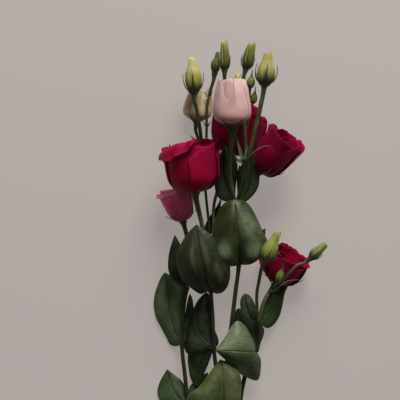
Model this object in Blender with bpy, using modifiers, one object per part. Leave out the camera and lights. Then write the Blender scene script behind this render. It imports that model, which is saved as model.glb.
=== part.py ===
"""A cut, many-branched lisianthus spray lying on its back.

Metres, +Z up from the surface it lies on, +Y along the stems towards the flowers, +X to the right.
Each branch, stalk with its calyx, leaf, petal whorl and bud is one closed solid. A piece keeps a gap
of GAP from the piece that it grows from, where a knife or a finger would part them.
Places in the tables are in millimetres in that same frame, and at() turns them into metres.
"""

import math

import bmesh
import bpy
from mathutils import Matrix, Vector

MM = 0.001
ROOT_SHIFT = Vector((0, 0.12, 0.08)) * MM  # brings the middle of the underside to the origin
GAP = 0.3 * MM
UP = Vector((0, 0, 1))

BRANCH_SIDES = 8
STALK_SIDES = 10  # twice the number of sepals, which rise from every second side
BRANCH_STEPS = 11
STALK_STEPS = 8
KNOB_LENGTH = 2.5 * MM  # a branch swells over this length where the next stalks leave it
KNOB_RADIUS = 3.4 * MM

LEAF_THICKNESS = 0.7 * MM
LEAF_ROWS = 7
LEAF_COLUMNS = 5
LEAF_FOOT = 0.8 * MM  # half the width where a leaf meets its stem
LEAF_TIP = 0.25 * MM

STALK_FOOT_RADIUS = 1.15 * MM
CALYX_RADIUS = 3.2 * MM
CALYX_LENGTH = 3 * MM
SEPAL_THICKNESS = 0.7 * MM
SEPAL_STEPS = 4
PETAL_THICKNESS = 0.9 * MM
PETALS = 5
WHORL_COLUMNS = 20
TURN_STEPS = 12

# Each branch: its route from the foot up, its radius at the foot and the top, and what it grows from.
BRANCHES = {
    "main_stem": (
        [(-19, -248.5, 3.2), (-18.5, -215, 6), (-18, -180, 9.5), (-17, -149, 13.5), (-15.2, -120, 18),
         (-13, -88.5, 21.5), (-10, -58.5, 26), (-6.5, -28.5, 30), (-3, 1.5, 33), (0, 26.5, 34),
         (-0.5, 58, 34), (-2, 91.5, 34)],
        3.0, 1.8, None),
    "left_branch": (
        [(-18.5, -181, 9.5), (-28, -168, 8), (-42, -144, 8), (-51, -113.5, 8.5), (-55, -83.5, 10),
         (-57.5, -55.5, 12), (-55.5, -18.5, 13.5), (-52, 2.5, 15)],
        2.4, 1.8, "main_stem"),
    "right_branch": (
        [(-16.5, -181, 9), (-9, -172, 8.5), (-1.5, -152, 8.5), (1.5, -130, 9.5), (3, -108.5, 11),
         (7, -88.5, 14), (13, -70.5, 16.5), (19, -59, 19), (22.3, -43.5, 21), (20, -30.5, 22)],
        2.5, 2.1, "main_stem"),
    "middle_branch": (
        [(-16, -125, 16.5), (-19.5, -113, 13.5), (-20, -101, 13), (-21.5, -89, 13.5), (-25, -58.5, 16),
         (-26, -28.5, 19.5), (-28, -0.5, 24)],
        2.3, 1.8, "main_stem"),
    "middle_upper_branch": (
        [(-28.3, -1.5, 22.2), (-29, 29.5, 19), (-29.5, 61.5, 14), (-32.5, 91.5, 9.5), (-35, 121.5, 7.5),
         (-36, 139.5, 7)],
        1.5, 1.3, "middle_branch"),
    "upper_branch": (
        [(-1.7, 90.5, 35.8), (3, 111.5, 42), (6, 131.5, 46)],
        1.5, 1.4, "main_stem"),
}

# Each leaf: the route of its midrib, half its width to the left and to the right as it grows, where
# along its length it is widest, how far its edges fall away for each unit of half-width, and its stem.
LEAVES = {
    "leaf_main_low": (
        [(-14.8, -120, 19), (-15, -113, 29), (-17.5, -96, 36), (-18, -68, 33)],
        29, 20, 0.36, 0.18, "main_stem"),
    "leaf_main_front": (
        [(0, 26.5, 34.5), (0.5, 32, 44), (1, 58, 52), (-5, 92.5, 55)],
        27, 27, 0.4, 0.3, "main_stem"),
    "leaf_main_back": (
        [(0.6, 26.5, 33), (6, 33, 28), (15, 44, 26), (27, 63, 30)],
        7, 7, 0.5, 0.1, "main_stem"),
    "leaf_main_top_right": (
        [(1.4, 90.4, 33.4), (7.2, 97, 34.6), (9.5, 117, 38.5), (9.5, 141.5, 40)],
        10, 9.5, 0.32, 0.1, "main_stem"),
    "leaf_main_top_left": (
        [(-3.2, 91, 33), (-9, 101, 30), (-14, 119, 29), (-14.5, 146.5, 30)],
        8, 11, 0.45, 0.1, "main_stem"),
    "leaf_middle_low_left": (
        [(-25.8, -57.3, 16.6), (-34, -48, 13.5), (-41, -31, 11), (-32.4, -2.5, 13)],
        14, 14, 0.42, 0.1, "middle_branch"),
    "leaf_middle_low_drooping": (
        [(-25.6, -60.5, 14.4), (-30.5, -66, 10), (-37.5, -79, 8), (-41.3, -98.5, 8)],
        11, 10, 0.4, 0.1, "middle_branch"),
    "leaf_middle_front": (
        [(-28.6, -0.8, 27), (-30.5, 5, 39), (-37, 33, 52), (-43, 67.5, 49)],
        26, 27, 0.4, 0.14, "middle_branch"),
    "leaf_middle_back": (
        [(-25.8, -1.6, 22.8), (-20, 2.5, 20), (-14, 13, 19), (-9, 27, 21)],
        6, 6, 0.45, 0.1, "middle_branch"),
    "leaf_left_low_outer": (
        [(-52.6, -119, 8.8), (-60, -113, 6.5), (-67.5, -101, 4.5), (-72.6, -82.8, 3.5)],
        15, 9, 0.4, 0.08, "left_branch"),
    "leaf_left_low_inner": (
        [(-50, -116, 8), (-45, -111, 5), (-39, -101, 3), (-31, -86, 3)],
        7, 7, 0.45, 0.05, "left_branch"),
    "leaf_left_outer": (
        [(-58, -55.5, 11.5), (-63, -50, 4.5), (-69.5, -21, 2.5), (-75.2, 17.2, 4)],
        18.5, 16, 0.4, 0.06, "left_branch"),
    "leaf_left_inner": (
        [(-56.6, -54.4, 11.6), (-53.5, -47, 9), (-50.5, -29, 7), (-49.4, -6.5, 7)],
        5, 6, 0.42, 0.1, "left_branch"),
    "leaf_left_top": (
        [(-53.8, 1.2, 16.6), (-59, 7, 23), (-62, 26, 28), (-64.6, 56.9, 29)],
        10, 11, 0.42, 0.12, "left_branch"),
    "leaf_right_back": (
        [(17.2, -63, 17), (10, -56, 12.5), (4.5, -40, 11.5), (0.5, -18, 13)],
        9, 9, 0.42, 0.1, "right_branch"),
    "leaf_right_front": (
        [(17.3, -62.5, 19.5), (14, -61.8, 33), (2, -60.5, 43), (-23.7, -58, 44)],
        27, 29, 0.36, 0.12, "right_branch"),
    "leaf_right_top_outer": (
        [(21.4, -33.2, 20), (29.5, -27, 12), (42.5, -9, 8), (56, 10.5, 6)],
        10, 15, 0.32, 0.06, "right_branch"),
    "leaf_right_top_inner": (
        [(18, -31.6, 21.6), (11, -27.5, 28), (7.4, -16, 36), (5.7, -1.5, 38)],
        6, 7, 0.42, 0.3, "right_branch"),
}

# Each open red flower: the foot of its petals, the way it faces, the height and radius of its outer
# petals, and how far its own weight has pressed it flat against the surface (1 is not at all).
RED_FLOWERS = {
    "left_red": ((-43.8, 99.5, 43.5), (-0.10, 0.97, 0.15), 50, 27.5, 1),
    "right_red": ((21.5, 119.5, 34), (0.60, 0.77, 0.27), 48, 21, 1),
    "centre_red": ((-5, 138.5, 12.6), (0.20, 0.94, 0.22), 44, 28, 0.6),
    "lower_red": ((38.5, 8.4, 11.6), (0.46, 0.84, 0.29), 34, 23, 0.68),
}
WHORL_PROFILE = [(0, 0.08), (0.05, 0.22), (0.17, 0.5), (0.4, 0.76), (0.7, 0.9), (1, 1)]
HEART_PROFILE = [(0, 0), (0, 0.05), (0.14, 0.24), (0.42, 0.45), (0.72, 0.5), (0.86, 0.36), (0.93, 0.14), (0.94, 0)]

# Each bud or half-open flower: foot, tip, radius, profile and flatness.
BUD_PROFILE = [(0, 0), (0, 0.26), (0.1, 0.6), (0.28, 0.92), (0.46, 1), (0.66, 0.86), (0.84, 0.5), (0.95, 0.2), (1, 0)]
HALF_OPEN_PROFILE = [(0, 0), (0, 0.12), (0.07, 0.42), (0.2, 0.8), (0.4, 1), (0.65, 0.96), (0.85, 0.82), (0.97, 0.62), (1, 0)]
TURNED = {
    "pink": ((-56.3, 70, 16.7), (-64.8, 104, 18.3), 17, HALF_OPEN_PROFILE, 0.8),
    "pale_pink": ((-7.2, 161.4, 67), (-8.4, 210.2, 71.7), 18.8, HALF_OPEN_PROFILE, 1),
    "cream": ((-42.8, 171, 11.5), (-38.8, 205.5, 13), 13.7, HALF_OPEN_PROFILE, 0.82),
    "bud_1": ((-45.2, 197.5, 34), (-46.5, 234.5, 36), 8.75, BUD_PROFILE, 1),
    "bud_2": ((-24.2, 219.5, 28), (-21, 240.5, 29), 4.25, BUD_PROFILE, 1),
    "bud_3": ((-14.6, 220.5, 48), (-14.5, 248.5, 49), 4.8, BUD_PROFILE, 1),
    "bud_4": ((6.4, 221.5, 48), (13, 246.5, 49), 5.75, BUD_PROFILE, 1),
    "bud_5": ((24.3, 203.5, 57), (28.8, 239.8, 58), 9.5, BUD_PROFILE, 1),
    "bud_9": ((25, 29.5, 46), (38.6, 59.8, 52), 8, BUD_PROFILE, 1),
    "bud_10": ((71.4, 33.5, 42), (87, 47.5, 42), 4.25, BUD_PROFILE, 1),
}

# Each stalk: its route up to where it turns into its flower's own direction, its radius, what it grows
# from, and its sepals: their length, half their width at the foot, and how far their tips stand off.
STALKS = {
    "pink": ([(-51.8, 1.8, 14.8), (-50, 31.5, 17), (-52.5, 54, 16)], 2.0, "left_branch", 20, 1.6, 1),
    "left_red": ([(-30.2, -1.5, 25), (-32.5, 29.5, 30), (-36, 61, 35)], 2.0, "middle_branch", 22, 1.5, 4),
    "centre_red": ([(-26, -1.5, 25), (-24.6, 29.5, 25), (-25, 61.5, 20), (-24.5, 88, 14), (-15, 118, 10.5)],
                   1.6, "middle_branch", 16, 1.5, 0.6),
    "pale_pink": ([(-3.8, 90.5, 34.6), (-9, 113.5, 43), (-9.5, 135, 56)], 2.2, "main_stem", 20, 1.6, 2),
    "right_red": ([(0.2, 90.5, 31.8), (7, 103, 29)], 1.7, "main_stem", 20, 1.5, 4),
    "cream": ([(-36.8, 138.5, 5.6), (-41, 154.5, 8)], 1.5, "middle_upper_branch", 18, 1.3, 0.5),
    "lower_red": ([(21, -32, 21.9), (25.5, -14, 18)], 2.1, "right_branch", 15, 1.4, 0.6),
    "bud_1": ([(-37.3, 138.5, 8.4), (-38, 154.5, 15.5), (-40, 169.5, 24), (-43, 186, 31.5)],
              1.9, "middle_upper_branch", 22, 1.3, 6),
    "bud_2": ([(-34.6, 138.5, 8), (-32.5, 155.5, 14), (-32, 181.5, 24), (-30.5, 195, 26)],
              1.3, "middle_upper_branch", 12, 1.1, 0.6),
    "bud_3": ([(4.4, 130.5, 45), (0.5, 142, 45), (-3.5, 154, 45), (-10, 181.5, 46), (-14.5, 209, 46)],
              1.7, "upper_branch", 14, 1.1, 0.6),
    "bud_4": ([(6.4, 130.5, 44.4), (6.2, 151.5, 45), (5, 178, 45), (5, 205, 46)],
              1.7, "upper_branch", 13, 1.2, 0.8),
    "bud_5": ([(7.7, 130.5, 46.6), (12, 146.5, 51), (19, 176, 55)], 2.2, "upper_branch", 22, 1.4, 3),
    "bud_9": ([(19.2, -31.8, 24.2), (18.2, -5, 31), (20, 10, 38)], 1.7, "right_branch", 17, 1.2, 1),
    "bud_10": ([(31.5, -3.5, 10.8), (37.2, 0.2, 27), (44, 11, 41), (50, 19, 45), (58, 26.5, 44)],
               1.2, "lower_red_stalk", 11, 1.0, 0.6),
}

# Each small green bud, still closed in its calyx: its route with its stalk, foot and tip, its radii, and
# the stalk that it grows from.
SMALL_BUDS = {
    "bud_6": ([(6.3, 160, 45.2), (8.4, 166, 46.4), (10, 182, 49.5)], (10.5, 202.5, 52), (12.8, 220.5, 53.5),
              0.9, 4.25, "bud_4_stalk"),
    "bud_7": ([(10, 181.5, 49.4), (12, 184.5, 48)], (13.4, 187.5, 46.5), (16.6, 204.5, 45.5),
              0.75, 3.75, "bud_6"),
    "bud_8": ([(5.2, 174, 45), (2.6, 180, 45), (0.4, 190, 45)], (-1, 202, 46), (-1.3, 217.6, 46),
              0.8, 4.0, "bud_4_stalk"),
    "bud_11": ([(35.4, 0.9, 9.6), (36.6, 4.4, 28), (37.4, 7.2, 38)], (38.5, 9.5, 43), (44.6, 29, 48),
               0.9, 4.0, "lower_red_stalk"),
}
SMALL_BUD_PROFILE = [(0, 0.45), (0.12, 0.8), (0.35, 1), (0.6, 0.86), (0.8, 0.5), (1, 0.1)]

GREEN = (0.10, 0.13, 0.055)
COLOURS = {
    "branch": (0.085, 0.10, 0.045), "stalk": GREEN, "leaf": (0.030, 0.045, 0.018),
    "red": (0.17, 0.002, 0.012), "red_heart": (0.09, 0.002, 0.010), "pink": (0.30, 0.04, 0.07),
    "pale_pink": (0.45, 0.28, 0.24), "cream": (0.30, 0.27, 0.13), "bud": (0.30, 0.29, 0.09),
}


def at(place):
    """A place from the tables, in metres."""
    return Vector(place) * MM


def clear_scene():
    for thing in list(bpy.data.objects):
        bpy.data.objects.remove(thing)


def new_collection(name):
    collection = bpy.data.collections.new(name)
    bpy.context.scene.collection.children.link(collection)
    return collection


def finish(piece, kind):
    """Gives a piece a material of its own, in the colour of its kind."""
    made = bpy.data.materials.new(piece.name)
    made.use_nodes = True
    shader = made.node_tree.nodes["Principled BSDF"]
    shader.inputs["Base Color"].default_value = (*COLOURS[kind], 1)
    shader.inputs["Roughness"].default_value = 0.5 if kind in ("branch", "stalk", "leaf") else 0.7
    shader.inputs["Metallic"].default_value = 0
    piece.data.materials.append(made)


def smooth_route(places, steps):
    """Evenly spaced points of a Catmull-Rom curve through the given ones."""
    ends = [places[0] * 2 - places[1], *places, places[-1] * 2 - places[-2]]
    fine = []
    for a, b, c, d in zip(ends, ends[1:], ends[2:], ends[3:]):
        for t in (k / 12 for k in range(12)):
            fine.append(
                0.5 * (2 * b + (c - a) * t + (2 * a - 5 * b + 4 * c - d) * t**2 + (3 * b - a - 3 * c + d) * t**3)
            )
    fine.append(places[-1])
    reached = [0.0]
    for near, far in zip(fine, fine[1:]):
        reached.append(reached[-1] + (far - near).length)
    route, k = [], 0
    for i in range(steps):
        wanted = reached[-1] * i / steps
        while reached[k + 1] < wanted:
            k += 1
        route.append(fine[k].lerp(fine[k + 1], (wanted - reached[k]) / (reached[k + 1] - reached[k])))
    return [*route, places[-1]]


def between(profile, fraction):
    """The radius that a profile has at this fraction of its height."""
    for (h0, r0), (h1, r1) in zip(profile, profile[1:]):
        if h1 > h0 and fraction <= h1:
            return r0 + (r1 - r0) * (fraction - h0) / (h1 - h0)
    return profile[-1][1]


def placing(foot, way, flat):
    """Puts a shape drawn along +Z at its foot, facing its way, pressed flat by that much."""
    turn = way.to_track_quat("Z", "Y").to_matrix().to_4x4()
    return Matrix.Translation(foot) @ Matrix.Diagonal((1, 1, flat, 1)) @ turn


def applied(drawn, matrix):
    """Replaces a drawn object by the mesh that its modifiers or its curve make, put in place."""
    bpy.context.view_layer.update()
    evaluated = drawn.evaluated_get(bpy.context.evaluated_depsgraph_get())
    mesh = bpy.data.meshes.new_from_object(evaluated)
    shape = bmesh.new()
    shape.from_mesh(mesh)
    bmesh.ops.remove_doubles(shape, verts=shape.verts, dist=0.01 * MM)
    bmesh.ops.transform(shape, matrix=matrix, verts=shape.verts)
    bmesh.ops.recalc_face_normals(shape, faces=shape.faces)
    shape.to_mesh(mesh)
    shape.free()
    mesh.materials.clear()
    piece = bpy.data.objects.new(drawn.name + ".shape", mesh)
    for collection in drawn.users_collection:
        collection.objects.link(piece)
    name = drawn.name
    bpy.data.objects.remove(drawn)
    piece.name = name
    return piece


def tube(name, route, radii, sides, collection):
    """A closed round tube with a radius of its own at each point of its route."""
    curve = bpy.data.curves.new(name, "CURVE")
    curve.dimensions = "3D"
    curve.bevel_depth = 1
    curve.bevel_resolution = sides // 2 - 2
    curve.use_fill_caps = True
    spline = curve.splines.new("POLY")
    spline.points.add(len(route) - 1)
    for point, place, radius in zip(spline.points, route, radii):
        point.co = (*place, 1)
        point.radius = radius
    drawn = bpy.data.objects.new(name, curve)
    collection.objects.link(drawn)
    return applied(drawn, Matrix.Translation(ROOT_SHIFT))


def seat(piece, stem, cutters):
    """Stops a piece just short of the stem that it grows from."""
    cut = piece.modifiers.new("seat", "BOOLEAN")
    cut.operation = "DIFFERENCE"
    cut.solver = "EXACT"
    cut.object = cutters[stem]


def cutter_for(name, route, radii, sides, collection):
    """A stem a gap fatter than the real one, to seat what grows from it."""
    ends = (route[-1] - route[-2]).normalized() * GAP
    cutter = tube(name + "_seat", [*route[:-1], route[-1] + ends], [r + GAP for r in radii], sides, collection)
    cutter.hide_render = True
    cutter.display_type = "WIRE"
    return cutter


def branch(name, collection, cutting, cutters):
    """A branch, swollen into a knob at its top where its stalks and leaves leave it."""
    places, foot_radius, top_radius, stem = BRANCHES[name]
    route = smooth_route([at(place) for place in places], BRANCH_STEPS)
    end, way = route[-1], (route[-1] - route[-2]).normalized()
    route = [place for place in route if (end - place).length > KNOB_LENGTH * 2.4] + [end]
    steps = len(route) - 1
    radii = [MM * (foot_radius + (top_radius - foot_radius) * i / steps) for i in range(len(route))]
    route[-1:] = [end - way * KNOB_LENGTH * 2, end - way * KNOB_LENGTH, end]
    radii[-1:] = [radii[-1], KNOB_RADIUS * 0.94, KNOB_RADIUS]
    piece = tube(name, route, radii, BRANCH_SIDES, collection)
    if stem:
        seat(piece, stem, cutters)
    cutters[name] = cutter_for(name, route, radii, BRANCH_SIDES, cutting)
    finish(piece, "branch")


def leaf(name, collection, cutters):
    """A leaf blade: an oval grid along its midrib, given its thickness by Solidify."""
    places, left, right, widest, fall, stem = LEAVES[name]
    midrib = smooth_route([at(place) for place in places], LEAF_ROWS - 1)
    chord = (midrib[-1] - midrib[0]).xy.normalized()
    rise, sink = 1.3 * widest, 1.3 * (1 - widest)
    fullest = widest**rise * (1 - widest) ** sink
    shape = bmesh.new()
    rows = []
    for i, centre in enumerate(midrib):
        t = i / (LEAF_ROWS - 1)
        ahead = midrib[min(i + 1, LEAF_ROWS - 1)] - midrib[max(i - 1, 0)]
        plan = (ahead.xy.normalized() + chord).normalized()
        aside = Vector((-plan.y, plan.x, 0))
        fullness = t**rise * (1 - t) ** sink / fullest
        narrowest = LEAF_FOOT + (LEAF_TIP - LEAF_FOOT) * t
        row = []
        for j in range(LEAF_COLUMNS):
            s = 1 - 2 * j / (LEAF_COLUMNS - 1)
            half = max(narrowest, fullness * (left if s > 0 else right) * MM)
            row.append(shape.verts.new(centre + aside * s * half - UP * fall * half * s * s + ROOT_SHIFT))
        rows.append(row)
    for near, far in zip(rows, rows[1:]):
        for j in range(LEAF_COLUMNS - 1):
            shape.faces.new((near[j], near[j + 1], far[j + 1], far[j]))
    mesh = bpy.data.meshes.new(name)
    shape.to_mesh(mesh)
    shape.free()
    piece = bpy.data.objects.new(name, mesh)
    collection.objects.link(piece)
    blade = piece.modifiers.new("blade", "SOLIDIFY")
    blade.thickness = LEAF_THICKNESS
    blade.offset = 0
    seat(piece, stem, cutters)
    finish(piece, "leaf")


def turned(name, profile, radius, length, matrix, kind, collection):
    """A petal body or bud turned from its profile, which runs from the foot to the tip."""
    mesh = bpy.data.meshes.new(name)
    outline = [(r * radius, 0, h * length) for h, r in reversed(profile)]
    mesh.from_pydata(outline, [(i, i + 1) for i in range(len(outline) - 1)], [])
    drawn = bpy.data.objects.new(name, mesh)
    collection.objects.link(drawn)
    screw = drawn.modifiers.new("turn", "SCREW")
    screw.axis = "Z"
    screw.steps = TURN_STEPS
    screw.render_steps = TURN_STEPS
    screw.use_merge_vertices = True
    screw.merge_threshold = 0.00001
    finish(applied(drawn, matrix), kind)


def outer_petals(name, radius, height, matrix, collection):
    """The outer whorl of an open flower: a cup whose rim rises and flares in one lobe for each petal."""
    shape = bmesh.new()
    middle = shape.verts.new((0, 0, 0))
    rings = []
    for h, r in WHORL_PROFILE:
        ring = []
        for k in range(WHORL_COLUMNS):
            angle = 2 * math.pi * k / WHORL_COLUMNS
            lobe = math.cos(PETALS * angle) * h**2
            reach = radius * r * (1 + 0.05 * lobe)
            ring.append(shape.verts.new(
                (reach * math.cos(angle), reach * math.sin(angle), height * h * (1 + 0.06 * lobe))))
        rings.append(ring)
    for k in range(WHORL_COLUMNS):
        following = (k + 1) % WHORL_COLUMNS
        shape.faces.new((middle, rings[0][following], rings[0][k]))
        for low, high in zip(rings, rings[1:]):
            shape.faces.new((low[k], low[following], high[following], high[k]))
    bmesh.ops.recalc_face_normals(shape, faces=shape.faces)
    mesh = bpy.data.meshes.new(name)
    shape.to_mesh(mesh)
    shape.free()
    drawn = bpy.data.objects.new(name, mesh)
    collection.objects.link(drawn)
    petal = drawn.modifiers.new("petal", "SOLIDIFY")
    petal.thickness = PETAL_THICKNESS
    petal.offset = 0
    finish(applied(drawn, matrix), "red")


def raise_sepals(piece, foot, way, flat, length, half_width, stand_off, clear_of):
    """Grows the sepals from every second side of the calyx rim, outside the petals."""
    place = placing(foot + ROOT_SHIFT, way, flat)
    unplace = place.inverted()
    shape = bmesh.new()
    shape.from_mesh(piece.data)
    level = (foot + ROOT_SHIFT).dot(way) - 0.1 * MM
    top = [face for face in shape.faces if face.calc_center_median().dot(way) > level]
    rim = bmesh.ops.dissolve_faces(shape, faces=top)["region"]
    sides = bmesh.ops.inset_region(shape, faces=rim, thickness=0.8 * MM)["faces"]

    def drawn_angle(point):
        drawn = unplace @ point
        return math.atan2(drawn.y, drawn.x)

    sides.sort(key=lambda face: drawn_angle(face.calc_center_median()))
    for side in sides[::2]:
        angle = drawn_angle(side.calc_center_median())
        outward = Vector((math.cos(angle), math.sin(angle), 0))
        across = Vector((-math.sin(angle), math.cos(angle), 0))
        before = Vector((CALYX_RADIUS * 0.75, 0))
        for k in range(1, SEPAL_STEPS + 1):
            t = (k / SEPAL_STEPS) ** 1.6
            side = bmesh.ops.extrude_discrete_faces(shape, faces=[side])["faces"][0]
            middle = unplace @ side.calc_center_median()
            inner = Vector((clear_of(t * length) + stand_off * MM * t**2, t * length))
            along = (inner - before).normalized()
            outer = inner + Vector((along.y, -along.x)) * SEPAL_THICKNESS * (1 - 0.5 * t)
            before = inner
            half = half_width * MM * (1 - t) ** 0.8 + 0.2 * MM
            for corner in side.verts:
                local = unplace @ corner.co
                is_outer = local.dot(outward) > middle.dot(outward)
                is_left = local.dot(across) > middle.dot(across)
                reach, height = outer if is_outer else inner
                corner.co = place @ (
                    outward * reach + across * (half if is_left else -half) + UP * height
                )
    bmesh.ops.recalc_face_normals(shape, faces=shape.faces)
    shape.to_mesh(piece.data)
    shape.free()


def stalk(flower, foot, way, flat, petal_radius_at, collection, cutting, cutters):
    """A flower's stalk, which widens into its calyx and ends in its sepals."""
    places, radius, stem, sepal_length, half_width, stand_off = STALKS[flower]
    name = flower + "_stalk"
    neck = foot - way * CALYX_LENGTH
    route = smooth_route([*[at(place) for place in places], neck - way * CALYX_LENGTH * 2], STALK_STEPS)
    route += [neck, foot - way * CALYX_LENGTH * 0.4, foot]
    foot_radius = min(radius * MM, STALK_FOOT_RADIUS)  # a stalk is thinnest where it leaves its stem
    radii = [foot_radius] * 2 + [(foot_radius + radius * MM) / 2] + [radius * MM] * (STALK_STEPS - 1)
    radii += [CALYX_RADIUS * 0.8, CALYX_RADIUS]
    piece = tube(name, route, radii, STALK_SIDES, collection)
    raise_sepals(
        piece, foot, way, flat, sepal_length * MM, half_width, stand_off,
        lambda h: max(CALYX_RADIUS * 0.8, petal_radius_at(h) + 0.5 * MM / flat),
    )
    seat(piece, stem, cutters)
    cutters[name] = cutter_for(name, route[: STALK_STEPS + 2], radii[: STALK_STEPS + 2], STALK_SIDES, cutting)
    finish(piece, "stalk")


def red_flower(flower, collection, cutting, cutters):
    """An open flower: its stalk, its outer petals, and the inner petals wrapped in a heart."""
    foot, way, height, radius, flat = RED_FLOWERS[flower]
    foot, way, height, radius = at(foot), Vector(way).normalized(), height * MM, radius * MM

    def petal_radius_at(h):
        return radius * between(WHORL_PROFILE, h / height) * 1.04 + PETAL_THICKNESS / 2

    stalk(flower, foot, way, flat, petal_radius_at, collection, cutting, cutters)
    start = foot + way * (GAP + PETAL_THICKNESS / 2) / flat + ROOT_SHIFT
    place = placing(start, way, flat)
    outer_petals(flower + "_outer_petals", radius, height, place, collection)
    heart = placing(start + way * (GAP + PETAL_THICKNESS / 2) / flat, way, flat)
    turned(flower + "_inner_petals", HEART_PROFILE, radius, height, heart, "red_heart", collection)


def closed_flower(flower, collection, cutting, cutters):
    """A bud or a half-open flower: its stalk and one body of wrapped petals."""
    foot, tip, radius, profile, flat = TURNED[flower]
    foot, tip, radius = at(foot), at(tip), radius * MM
    way, length = (tip - foot).normalized(), (tip - foot).length

    def petal_radius_at(h):
        return radius * between(profile, h / length)

    stalk(flower, foot, way, flat, petal_radius_at, collection, cutting, cutters)
    place = placing(foot + way * GAP / flat + ROOT_SHIFT, way, flat)
    kind = flower if flower in COLOURS else "bud"
    turned(flower + "_petals", profile, radius, length - GAP, place, kind, collection)


def small_bud(name, collection, cutting, cutters):
    """A small green bud and its stalk, in one piece."""
    places, foot, tip, radius, bud_radius, stem = SMALL_BUDS[name]
    foot, tip = at(foot), at(tip)
    route = smooth_route([*[at(place) for place in places], foot - (tip - foot) * 0.06], 5)
    radii = [radius * MM] * len(route)
    cutters[name] = cutter_for(name, route, radii, BRANCH_SIDES, cutting)
    route += [foot + (tip - foot) * h for h, r in SMALL_BUD_PROFILE]
    radii += [bud_radius * MM * r for h, r in SMALL_BUD_PROFILE]
    piece = tube(name, route, radii, BRANCH_SIDES, collection)
    seat(piece, stem, cutters)
    finish(piece, "stalk")


def build():
    clear_scene()
    spray = new_collection("lisianthus_spray")
    cutting = new_collection("seats")
    cutters = {}
    for name in BRANCHES:
        branch(name, spray, cutting, cutters)
    for name in LEAVES:
        leaf(name, spray, cutters)
    for flower in RED_FLOWERS:
        red_flower(flower, spray, cutting, cutters)
    for flower in TURNED:
        closed_flower(flower, spray, cutting, cutters)
    for name in SMALL_BUDS:
        small_bud(name, spray, cutting, cutters)


build()
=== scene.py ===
import math

import bpy
from mathutils import Matrix, Vector


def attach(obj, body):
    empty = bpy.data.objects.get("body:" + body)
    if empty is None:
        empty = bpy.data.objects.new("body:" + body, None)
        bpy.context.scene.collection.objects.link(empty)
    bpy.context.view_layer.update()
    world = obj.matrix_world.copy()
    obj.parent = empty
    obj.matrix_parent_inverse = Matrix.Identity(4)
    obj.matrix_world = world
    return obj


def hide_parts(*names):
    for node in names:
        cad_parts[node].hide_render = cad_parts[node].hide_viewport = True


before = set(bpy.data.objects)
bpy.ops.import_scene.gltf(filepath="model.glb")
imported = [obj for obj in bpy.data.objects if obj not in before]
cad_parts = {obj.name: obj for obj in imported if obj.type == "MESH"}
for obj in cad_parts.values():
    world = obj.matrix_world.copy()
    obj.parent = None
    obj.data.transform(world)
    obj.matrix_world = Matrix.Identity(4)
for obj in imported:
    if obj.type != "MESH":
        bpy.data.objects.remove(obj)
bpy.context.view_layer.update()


# ---- Main stem and branches ----
# Round green stems, a few millimetres thick, cut clean across at the foot.
# They swell into knobs where leaves and flower stalks leave them.
# Places are in millimetres in the frame, from the foot up; at() gives metres.
MM = 0.001
UP = Vector((0, 0, 1))
STEM_SIDES = 16
STEM_STEPS = 60
KNOB_REACH = 3.2 * MM
KNOB_RISE = 0.9
# Each stem: its route from the foot up, its radius at the foot and at the top, and how far up its knobs sit.
STEMS = {
    "main_stem": (
        [(-19, -248.5, 3.2), (-18.5, -215, 6), (-18, -180, 9.5), (-17, -149, 13.5), (-15.2, -120, 18),
         (-13, -88.5, 21.5), (-10, -58.5, 26), (-6.5, -28.5, 30), (-3, 1.5, 33), (0, 26.5, 34),
         (-0.5, 58, 34), (-2, 91.5, 34)],
        3.0, 1.8, (0.18, 0.37, 0.81, 1)),
    "left_branch": (
        [(-18.5, -181, 9.5), (-28, -168, 8), (-42, -144, 8), (-51, -113.5, 8.5), (-55, -83.5, 10),
         (-57.5, -55.5, 12), (-55.5, -18.5, 13.5), (-52, 2.5, 15)],
        2.4, 1.8, (0.35, 0.7, 1)),
    "right_branch": (
        [(-16.5, -181, 9), (-9, -172, 8.5), (-1.5, -152, 8.5), (1.5, -130, 9.5), (3, -108.5, 11),
         (7, -88.5, 14), (13, -70.5, 16.5), (19, -59, 19), (22.3, -43.5, 21), (20, -30.5, 22)],
        2.5, 2.1, (0.8, 1)),
    "middle_branch": (
        [(-16, -125, 16.5), (-19.5, -113, 13.5), (-20, -101, 13), (-21.5, -89, 13.5), (-25, -58.5, 16),
         (-26, -28.5, 19.5), (-28, -0.5, 24)],
        2.3, 1.8, (0.53, 1)),
    "middle_upper_branch": (
        [(-28.3, -1.5, 22.2), (-29, 29.5, 19), (-29.5, 61.5, 14), (-32.5, 91.5, 9.5), (-35, 121.5, 7.5),
         (-36, 139.5, 7)],
        1.5, 1.3, (1,)),
    "upper_branch": (
        [(-1.7, 90.5, 35.8), (3, 111.5, 42), (6, 131.5, 46)],
        1.5, 1.4, (1,)),
}


class Value:
    """One value in a finish's nodes, so that masks and bumps are written as sums."""

    def __init__(self, finish, socket):
        self.finish, self.socket = finish, socket

    def math(self, operation, *terms):
        return self.finish.node("ShaderNodeMath", {"operation": operation}, dict(enumerate(terms)))

    def __add__(self, other):
        return self.math("ADD", self, other)

    def __sub__(self, other):
        return self.math("SUBTRACT", self, other)

    def __rsub__(self, other):
        return self.math("SUBTRACT", other, self)

    def __mul__(self, other):
        return self.math("MULTIPLY", self, other)

    def __truediv__(self, other):
        return self.math("DIVIDE", self, other)

    def __pow__(self, other):
        return self.math("POWER", self, other)

    def __abs__(self):
        return self.math("ABSOLUTE", self)

    __radd__ = __add__
    __rmul__ = __mul__

    def within(self, low, high):
        """A smooth step from 0 at low to 1 at high."""
        steps = {"interpolation_type": "SMOOTHSTEP", "clamp": True}
        return self.finish.node("ShaderNodeMapRange", steps, {0: self, 1: low, 2: high})


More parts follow.
